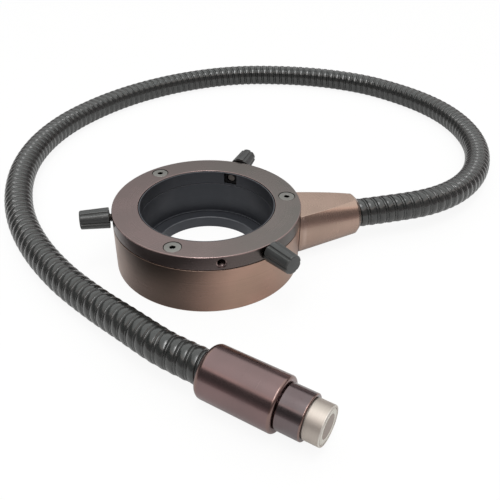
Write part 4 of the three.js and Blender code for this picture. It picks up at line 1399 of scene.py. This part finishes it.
@dataclass
class RingHead:
    """The lower housing with its black inner sleeve and the ring of fibre ends in the underside.

    The fibre shifts are how far outwards the inner edge of the fibre ring lies at its bottom and at its top.
    """

    shop: Workshop
    radius: float = 45.35
    height: float = 22.85
    wall: float = 2.0
    floor: float = 3.0
    foot_radius: float = 32.6
    foot_rise: float = 1.3
    bore: float = 32.2
    ledge: float = 0.8
    ledge_height: float = 0.7
    sleeve_outer: float = 33.7
    sleeve_foot: float = 29.8
    sleeve_taper: float = 9.0
    aperture: float = 25.6
    lip: float = 6.0
    fibre_inner: float = 30.1
    fibre_width: float = 2.2
    fibre_shifts: tuple[float, float] = (0.173, 1.3)
    fibre_bottom: float = 0.4
    boss_circle: float = 39.55
    boss_radius: float = 3.5
    boss_depth: float = 8.0
    boss_hole: float = 2.3
    clamp_turn: float = -3.5
    axis_height: float = 13.2
    neck_hole: float = 6.2
    screw_hole: float = 1.8
    screw_spread: float = 9.0
    screw_height: float = 17.0
    sides: int = 288

    def channel(self) -> Shell:
        """The housing's channel, open on top.

        Returns:
            The channel, before its bosses and holes.
        """
        inner = self.radius - self.wall
        return lathe([
            (self.foot_radius, 0, 0), (self.radius, 0, 0.45), (self.radius, self.height, 0.14),
            (inner, self.height, 0.1), (inner, self.floor, 0.8), (self.foot_radius + self.foot_rise, self.floor, 0),
        ], self.sides)

    def bosses(self) -> tuple[list[Shell], list[Shell]]:
        """The three bosses for the clamp ring's screws.

        Returns:
            The posts with the webs that join them to the wall, and their holes.
        """
        posts, holes = [], []
        foot, top, side = self.height - self.boss_depth, self.height - 0.02, self.boss_radius
        web = block((0, -side, foot), (self.radius - self.wall / 2 - self.boss_circle, side, top))
        for turn in THIRDS:
            frame = upright(self.clamp_turn + turn, self.boss_circle)
            posts += [rod(side, foot, top).moved(frame), web.moved(frame)]
            holes.append(rod(self.boss_hole, foot - PAST, self.height + PAST).moved(frame))
        return posts, holes

    def neck_holes(self) -> list[Shell]:
        """The neck's passage through the wall, and the two holes of its screws.

        Returns:
            The shells to cut away.
        """
        start, end = self.sleeve_outer, self.radius + PAST
        plan = ((0, self.axis_height, self.neck_hole),) + tuple(
            (y, self.screw_height, self.screw_hole) for y in (-self.screw_spread, self.screw_spread)
        )
        return [rod(radius, start, end).moved(lying(0, (0, y, z))) for y, z, radius in plan]

    def sleeve(self) -> Shell:
        """The black sleeve: bore, ledge and lip, with a foot that tapers in under the housing.

        Returns:
            The sleeve.
        """
        ledge, step = self.bore - self.ledge, self.lip + self.ledge_height
        return lathe([
            (self.aperture, 0, 0.25), (self.sleeve_foot, 0, 0.15), (self.sleeve_outer, self.sleeve_taper, 0),
            (self.sleeve_outer, self.height, 0), (self.bore, self.height, 0.12), (self.bore, step, 0),
            (ledge, step, 0.1), (ledge, self.lip, 0), (self.aperture, self.lip, 0.45),
        ], self.sides)

    def fibres(self) -> Shell:
        """The ring of fibre ends, which slopes inwards with the foot of the sleeve.

        Returns:
            The ring.
        """
        bottom, top, width = self.fibre_bottom, self.floor, self.fibre_width
        low, high = (self.fibre_inner + shift for shift in self.fibre_shifts)
        return lathe([(low, bottom, 0), (low + width, bottom, 0), (high + width, top, 0), (high, top, 0)], self.sides)

    def build(self) -> None:
        """Builds the three pieces."""
        posts, holes = self.bosses()
        holes += self.neck_holes()
        self.shop.piece("housing", self.channel(), Finish.COPPER_ANODISED, ["ring_housing"], cuts=holes, adds=posts)
        self.shop.piece("bore_sleeve", self.sleeve(), Finish.BLACK_ANODISED, ["inner_sleeve"])
        self.shop.piece("fibre_exit_ring", self.fibres(), Finish.GLASS_FIBRE, ["fibre_ring"])


@dataclass
class SocketScrew:
    """A screw with a hex socket: a turned body, a flat top, and a socket with a drilled bottom."""

    head: Corners
    across_flats: float
    depth: float
    sides: int = 96

    def shell(self) -> Shell:
        """The screw's skin, from the middle of its point to the bottom of its socket.

        The hexagon is drawn in polar form: half its width over the cosine of the angle from the nearest flat.

        Returns:
            The skin.
        """
        from_flat = (circle(self.sides) + TURN / 12) % (TURN / 6) - TURN / 12
        hexagon = self.across_flats / 2 / np.cos(from_flat)
        shape = outline(self.head, closed=False, steps=5)
        top = shape[-1, 1]
        radius = np.vstack([np.repeat(shape[:, :1], self.sides, 1), hexagon + 0.12, hexagon, hexagon, hexagon * 0.5])
        height = np.concatenate([shape[:, 1], [top, top - 0.1, top - self.depth, top - self.depth - 0.3]])
        return loft(polar(radius, height[:, None], self.sides))


@dataclass
class ClampRing:
    """The brown clamp ring with its screws, thumbscrew holes, spare tapped holes, and the liner of its bore.

    The step under it is given by its inset and its rise, and the thread of the spare holes by its radius and the
    height of its ridge. The thumbscrews and the spares are azimuths in degrees, counted from the ring's own turn.
    """

    shop: Workshop
    bottom: float = 23.15
    top: float = 30.0
    outer: float = 45.35
    step: tuple[float, float] = (0.3, 0.32)
    bore: float = 33.0
    liner_outer: float = 32.7
    liner_inner: float = 32.2
    liner_drop: float = 0.3
    turn: float = -3.5
    hole: float = 2.3
    screw_circle: float = 39.55
    screw_drop: float = 0.12
    countersink: float = 4.15
    countersink_ledge: float = 0.7
    thumbscrews: float = 60.0
    mouth: float = 2.9
    spares: float = 30.0
    thread: tuple[float, float] = (2.1, 0.26)
    thread_depth: float = 6.0
    pad_half_width: float = 3.4
    pad_half_height: float = 2.85
    pocket_floor: float = 38.35
    sides: int = 288
    head: Corners = (
        (0.4, -10, 0), (1.7, -10, 0), (2.0, -9.6, 0), (2.0, -2.1, 0.1), (3.8, -0.3, 0), (3.8, -0.05, 0.04), (3.7, 0, 0)
    )

    @property
    def middle(self) -> float:
        """The height of the thumbscrews."""
        return (self.bottom + self.top) / 2

    def radial(self, azimuth: float) -> list[Matrix]:
        """The frames of three shapes that lie along radii of the ring, the first at an azimuth."""
        return [lying(azimuth + turn, (0, 0, self.middle)) for turn in THIRDS]

    def ring(self) -> Shell:
        """The ring's body: a flat section with rounded edges and a narrow step where it meets the housing.

        Returns:
            The body, before its holes.
        """
        inner, rise = self.outer - self.step[0], self.bottom + self.step[1]
        return lathe([
            (self.bore, self.bottom, 0.1), (inner, self.bottom, 0), (inner, rise, 0), (self.outer, rise, 0.1),
            (self.outer, self.top, 0.4), (self.bore, self.top, 0.28),
        ], self.sides)

    def countersinks(self) -> Shell:
        """The three countersunk holes of the ring's screws.

        Returns:
            The three, as one tool.
        """
        hole, rim = self.hole, self.countersink
        ledge = self.top - self.screw_drop - self.countersink_ledge
        low, high = self.bottom - PAST, self.top + PAST
        shape = np.array([[hole, low], [hole, ledge - (rim - hole)], [rim, ledge], [rim, high]])
        return turned(shape, 96, closed=False).copies([upright(turn, self.screw_circle) for turn in THIRDS])

    def thumbscrew_holes(self) -> Shell:
        """The three radial holes, each with a small countersink at its mouth.

        Returns:
            The three, as one tool.
        """
        plan = ((self.hole, self.bore - 4), (self.hole, self.outer - 0.5), (self.mouth, self.outer + 0.1))
        shape = np.array([*plan, (self.mouth, self.outer + 3)])
        return turned(shape, 64, closed=False).copies(self.radial(self.thumbscrews))

    def pockets(self) -> Shell:
        """The three square pockets in which the pads slide."""
        y, z = self.pad_half_width, self.pad_half_height
        return block((-y, -z, self.bore - 6), (y, z, self.pocket_floor)).copies(self.radial(self.thumbscrews))

    def spare_holes(self) -> Shell:
        """The three spare tapped holes, whose walls carry the rings of the thread.

        Returns:
            The three, as one tool.
        """
        radius, ridge = self.thread
        crests = np.arange(self.outer - self.thread_depth, self.outer - 0.7, 0.35)
        wave = radius - ridge * (np.arange(len(crests)) % 2)
        shape = np.vstack([
            [1.7, self.outer - self.thread_depth - 0.8], np.stack([wave, crests], 1), [radius, self.outer - 0.65],
            [2.45, self.outer - 0.35], [2.45, self.outer + 3],
        ])
        return turned(shape, 48, closed=False).copies(self.radial(self.spares))

    def liner(self) -> Shell:
        """The thin black liner, before its windows are cut."""
        low, high, inner, outer = self.bottom, self.top - self.liner_drop, self.liner_inner, self.liner_outer
        return lathe([(inner, low, 0), (outer, low, 0), (outer, high, 0), (inner, high, 0.12)], self.sides)

    def build(self) -> None:
        """Builds the ring, its liner and its three screws."""
        frame, place = upright(self.turn), self.shop.piece
        cuts = [self.countersinks(), self.thumbscrew_holes(), self.pockets(), self.spare_holes()]
        place("clamp_ring_body", self.ring(), Finish.BROWN_ANODISED, ["clamp_ring"], frame=frame, cuts=cuts)
        place("bore_liner", self.liner(), Finish.BLACK_ANODISED, ["clamp_liner"], frame=frame, cuts=[self.pockets()])
        screw = SocketScrew(self.head, 2.5, 1.5).shell()
        for number, turn in enumerate(THIRDS, 1):
            own, node = upright(turn, self.screw_circle, self.top - self.screw_drop), f"clamp_ring_screw_{number}"
            place(f"countersunk_screw_{number}", screw, Finish.STEEL_HEAD, [node], frame=frame @ own)


@dataclass
class Neck:
    """The tapered neck: a cone with a flat milled on top and another level with the underside.

    The counts are the samples of the flat, its edge, the round and the underside in half a section. The rows are the
    rings of the outside, the chamfer and the saddle face.
    """

    shop: Workshop
    axis_height: float = 13.2
    root_radius: float = 15.85
    tip_radius: float = 10.5
    mouth_radius: float = 8.7
    root: float = 45.35
    saddle: float = 45.65
    shoulder: float = 76.4
    end: float = 78.2
    flat: float = 10.1
    edge: float = 0.3
    socket_radius: float = 7.75
    socket_edge: float = 0.25
    socket_bottom: float = 66.2
    passage: float = 5.3
    set_screw: float = 6.0
    counts: tuple[int, int, int, int] = (22, 7, 72, 16)
    rows: tuple[int, int, int] = (26, 6, 8)

    def cone(self, x: Array) -> Array:
        """The radius along the neck: a straight taper from the housing's wall to the shoulder."""
        share = np.clip((x - self.root) / (self.shoulder - self.root), 0, 1)
        return self.root_radius + (self.tip_radius - self.root_radius) * share

    def half(self) -> tuple[Array, Array]:
        """The samples of half a section from its top to its bottom.

        Returns:
            The part of the section that each is in, and how far along that part it is.
        """
        parts, shares = [], []
        for part, count in enumerate(self.counts):
            last = part == len(self.counts) - 1
            parts.append(np.full(count + last, part))
            shares.append(np.linspace(0, 1, count + 1)[: count + last])
        return np.concatenate(parts), np.concatenate(shares)

    def section(self, x: Array) -> tuple[Array, Array]:
        """The section's points for the whole way round, each at its own distance along the neck.

        The top is a flat, joined to the round by an arc tangent to both. Below, the radius is the lesser of the cone
        and the flat's distance over the sine of the angle.

        Args:
            x: The distance along the neck of each sample.

        Returns:
            Their places across and above the neck's axis.
        """
        part, share = self.half()
        mirror = np.arange(len(part) - 2, 0, -1)
        part, share = np.concatenate([part, part[mirror]]), np.concatenate([share, share[mirror]])
        side = np.concatenate([np.ones(len(mirror) + 2), -np.ones(len(mirror))])
        radius, flat, edge = self.cone(x), self.flat, self.edge
        centre = np.sqrt(np.maximum((radius - edge) ** 2 - (flat - edge) ** 2, 0))
        corner = np.arctan2(flat - edge, centre)
        low = np.maximum(-np.arcsin(np.minimum(self.axis_height / radius, 1)), -TURN / 4 + 0.14)
        arc = TURN / 4 + (corner - TURN / 4) * share
        barrel = corner + (low - corner) * share
        floor = low + (-TURN / 4 - low) * share
        under = np.minimum(radius, self.axis_height / np.abs(np.sin(np.minimum(floor, -0.1))))
        across = [centre * share, centre + edge * np.cos(arc), radius * np.cos(barrel), under * np.cos(floor)]
        top = np.full_like(x, flat)
        above = [top, flat - edge + edge * np.sin(arc), radius * np.sin(barrel), under * np.sin(floor)]
        return side * np.choose(part, across), np.choose(part, above)

    def rings(self) -> Array:
        """All rings of the neck's skin: outside, chamfer, mouth, socket, passage and the saddle face.

        The outside starts where its own section meets the cylinder of the saddle, found by going round a few times.

        Returns:
            The rings as (ring, point, 3), with the distance along the neck first.
        """
        outside, chamfer, saddle = self.rows
        start = np.full(2 * sum(self.counts), self.root)
        for _ in range(6):
            start = np.sqrt(self.saddle**2 - self.section(start)[0] ** 2)
        stations = [start + (self.shoulder - start) * share for share in np.linspace(0, 1, outside)]
        found = [np.stack([x, *self.section(x)], -1) for x in stations]
        across, above = self.section(stations[-1])
        angle, full = np.arctan2(above, across), np.hypot(across, above)
        circles = [
            (self.shoulder + (self.end - self.shoulder) * share,
             np.minimum(full, self.tip_radius + (self.mouth_radius - self.tip_radius) * share))
            for share in np.linspace(0, 1, chamfer + 1)[1:]
        ]
        circles += [
            (self.end, self.socket_radius + self.socket_edge), (self.end - self.socket_edge, self.socket_radius),
            (self.socket_bottom, self.socket_radius), (self.socket_bottom, self.passage),
        ]
        for x, radius in circles:
            found.append(np.stack([np.full_like(angle, x), radius * np.cos(angle), radius * np.sin(angle)], -1))
        hole, wall = found[-1][:, 1:], np.stack(self.section(start), -1)
        for share in np.linspace(0, 1, saddle + 1)[:-1]:
            y, z = (hole + (wall - hole) * share).T
            found.append(np.stack([np.sqrt(self.saddle**2 - y**2), y, z], -1))
        return np.array(found)

    def build(self) -> None:
        """Builds the neck, with the hole of its set screw."""
        shell = loft(np.roll(self.rings(), -1, -1), closed=True)
        hole = hole_below(self.axis_height, self.end - self.set_screw)
        frame = lying(0, (0, 0, self.axis_height))
        self.shop.piece("tapered_neck", shell, Finish.NECK_ANODISED, ["light_guide_neck"], frame=frame, cuts=[hole])


# The thumbscrews


@dataclass
class Thumbscrew:
    """One thumbscrew along its own +Z: a fluted knob, a threaded stud and the square pad that the stud's tip holds."""

    shop: Workshop
    number: int
    clamp: ClampRing
    pad_face: float = 32.65
    pad_depth: float = 3.2
    pad_half: tuple[float, float] = (3.1, 2.55)
    pad_edge: float = 0.15
    pad_hole: float = 2.3
    pad_neck: float = 1.7
    pad_seat: float = 1.1
    stud_tip: float = 33.7
    stud_head: float = 0.8
    stud_radius: float = 2.0
    stud_neck: float = 1.4
    stud_grip: float = 9.0
    thread_start: float = 36.4
    knob_face: float = 46.4
    knob_length: float = 13.7
    knob_inner: float = 5.05
    knob_outer: float = 4.5
    knob_hole: float = 2.3
    knob_depth: float = 9.3
    flutes: int = 6
    flute_depth: float = 0.55
    flute_reach: float = 0.17
    flute_fade: float = 0.9
    pitch: float = 0.7
    knob_sides: int = 240
    stud_sides: int = 40
    pad_steps: int = 24

    @property
    def frame(self) -> Matrix:
        """Where the thumbscrew lies in the ring's frame."""
        azimuth = self.clamp.turn + self.clamp.thumbscrews + THIRDS[self.number - 1]
        return lying(azimuth, (0, 0, self.clamp.middle))

    def knob(self) -> Shell:
        """The knob: an outline from its end face to the bottom of its hole, with flutes sunk in its side.

        A flute's depth falls off as the square of a cosine from its middle, and fades where the outline leaves the
        straight side.

        Returns:
            The knob's skin.
        """
        start, end, steps = self.knob_face, self.knob_face + self.knob_length, 7
        shape = outline([
            (0.3, end, 0), (self.knob_outer, end, 0.75), (self.knob_inner, start, 0.4), (3.7, start, 0.15),
            (3.7, start + 1, 0), (self.knob_hole, start + 1, 0), (self.knob_hole, start + self.knob_depth, 0),
            (0.3, start + self.knob_depth, 0),
        ], closed=False, steps=steps)
        before, after = shape[: steps + 2], shape[steps + 2 :]
        shape = np.vstack([before, np.linspace(before[-1], after[0], 12)[1:-1], after])
        slope = self.knob_outer + (self.knob_inner - self.knob_outer) * (end - shape[:, 1]) / self.knob_length
        weight = np.clip(1 - (slope - shape[:, 0]) / self.flute_fade, 0, 1)
        share = circle(self.knob_sides) * self.flutes / TURN
        off = np.abs(share - np.round(share)) / self.flute_reach
        flute = np.where(off < 1, self.flute_depth * np.cos(np.minimum(off, 1) * TURN / 4) ** 2, 0)
        return loft(polar(shape[:, :1] - weight[:, None] * flute, shape[:, 1:], self.knob_sides))

    def stud(self) -> Shell:
        """The stud: a rounded tip, a narrow neck and a thread whose ridge winds with the pitch.

        The ridge is a saw of the height in pitches less the part of a turn, cut flat at its crest and its root, and
        it fades at both ends of the thread.

        Returns:
            The stud's skin.
        """
        tip, start, end = self.stud_tip, self.thread_start, self.knob_face + self.stud_grip
        neck = tip + self.stud_head
        head = outline([
            (0.4, tip, 0), (self.stud_radius, tip, 0.25), (self.stud_radius, neck, 0.1), (self.stud_neck, neck, 0),
            (self.stud_neck, start, 0),
        ], closed=False, steps=5)
        heights = np.arange(start + 0.02, end, self.pitch / 10)
        saw = np.abs(((heights[:, None] / self.pitch - circle(self.stud_sides) / TURN) % 1) * 2 - 1)
        fade = np.clip(np.minimum(heights - start, end - heights) / 0.5, 0, 1)[:, None]
        ridge = self.stud_radius - 0.38 * fade * np.clip(saw * 1.25 - 0.125, 0, 1) - 0.2 * (1 - fade)
        radius = np.vstack([np.repeat(head[:, :1], self.stud_sides, 1), ridge])
        height = np.concatenate([head[:, 1], heights])[:, None]
        return loft(polar(radius, height, self.stud_sides))

    def pad(self) -> Shell:
        """The pad: square rings outside and round ones in its stepped hole, joined face by face.

        Returns:
            The pad's skin.
        """
        half, face, back = self.pad_half, self.pad_face, self.pad_face + self.pad_depth
        seat = self.stud_tip + self.pad_seat
        step, ones = np.linspace(-1, 1, self.pad_steps, endpoint=False), np.ones(self.pad_steps)
        sides = [np.concatenate([ones, -step, -ones, step]), np.concatenate([step, ones, -step, -ones])]
        square = np.stack(sides, -1) * half
        angle = np.arctan2(square[:, 1], square[:, 0])
        unit = np.stack([np.cos(angle), np.sin(angle)], -1)
        plan = [
            (unit * self.pad_hole, face), (square * (1 - self.pad_edge / np.array(half)), face),
            (square, face + self.pad_edge), (square, back), (unit * self.pad_neck, back), (unit * self.pad_neck, seat),
            (unit * self.pad_hole, seat),
        ]
        rings = [np.column_stack([flat, np.full(len(flat), height)]) for flat, height in plan]
        return loft(np.array(rings), closed=True)

    def build(self) -> None:
        """Builds the three pieces on their two bodies."""
        n, frame, place = self.number, self.frame, self.shop.piece
        place(f"slide_pad_{n}", self.pad(), Finish.PAD_PLASTIC, [f"thumbscrew_pad_{n}"], f"pad_{n}", frame)
        place(f"threaded_stud_{n}", self.stud(), Finish.STEEL_STUD, [f"thumbscrew_stud_{n}"], f"thumbscrew_{n}", frame)
        place(f"fluted_knob_{n}", self.knob(), Finish.KNOB_PLASTIC, [f"thumbscrew_knob_{n}"], f"thumbscrew_{n}", frame)


def main() -> None:
    """Builds the studio, the conduit with its ferrule, the head and the thumbscrews, and gives the imported nodes that
    stay their finishes.
    """
    logging.basicConfig(level=logging.INFO, format="%(message)s")
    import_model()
    shop = Workshop()
    Studio(shop).build()
    Conduit(shop).build(Ferrule(shop).build())
    RingHead(shop).build()
    clamp = ClampRing(shop)
    clamp.build()
    Neck(shop).build()
    for number in (1, 2, 3):
        Thumbscrew(shop, number, clamp).build()
    shop.dress(["neck_screw_1", "neck_screw_2", "neck_set_screw", "sleeve_set_screw"], Finish.STEEL)
    shop.dress(["fibre_bundle", "fibre_fan"], Finish.GLASS_FIBRE)


if __name__ == "__main__":
    main()
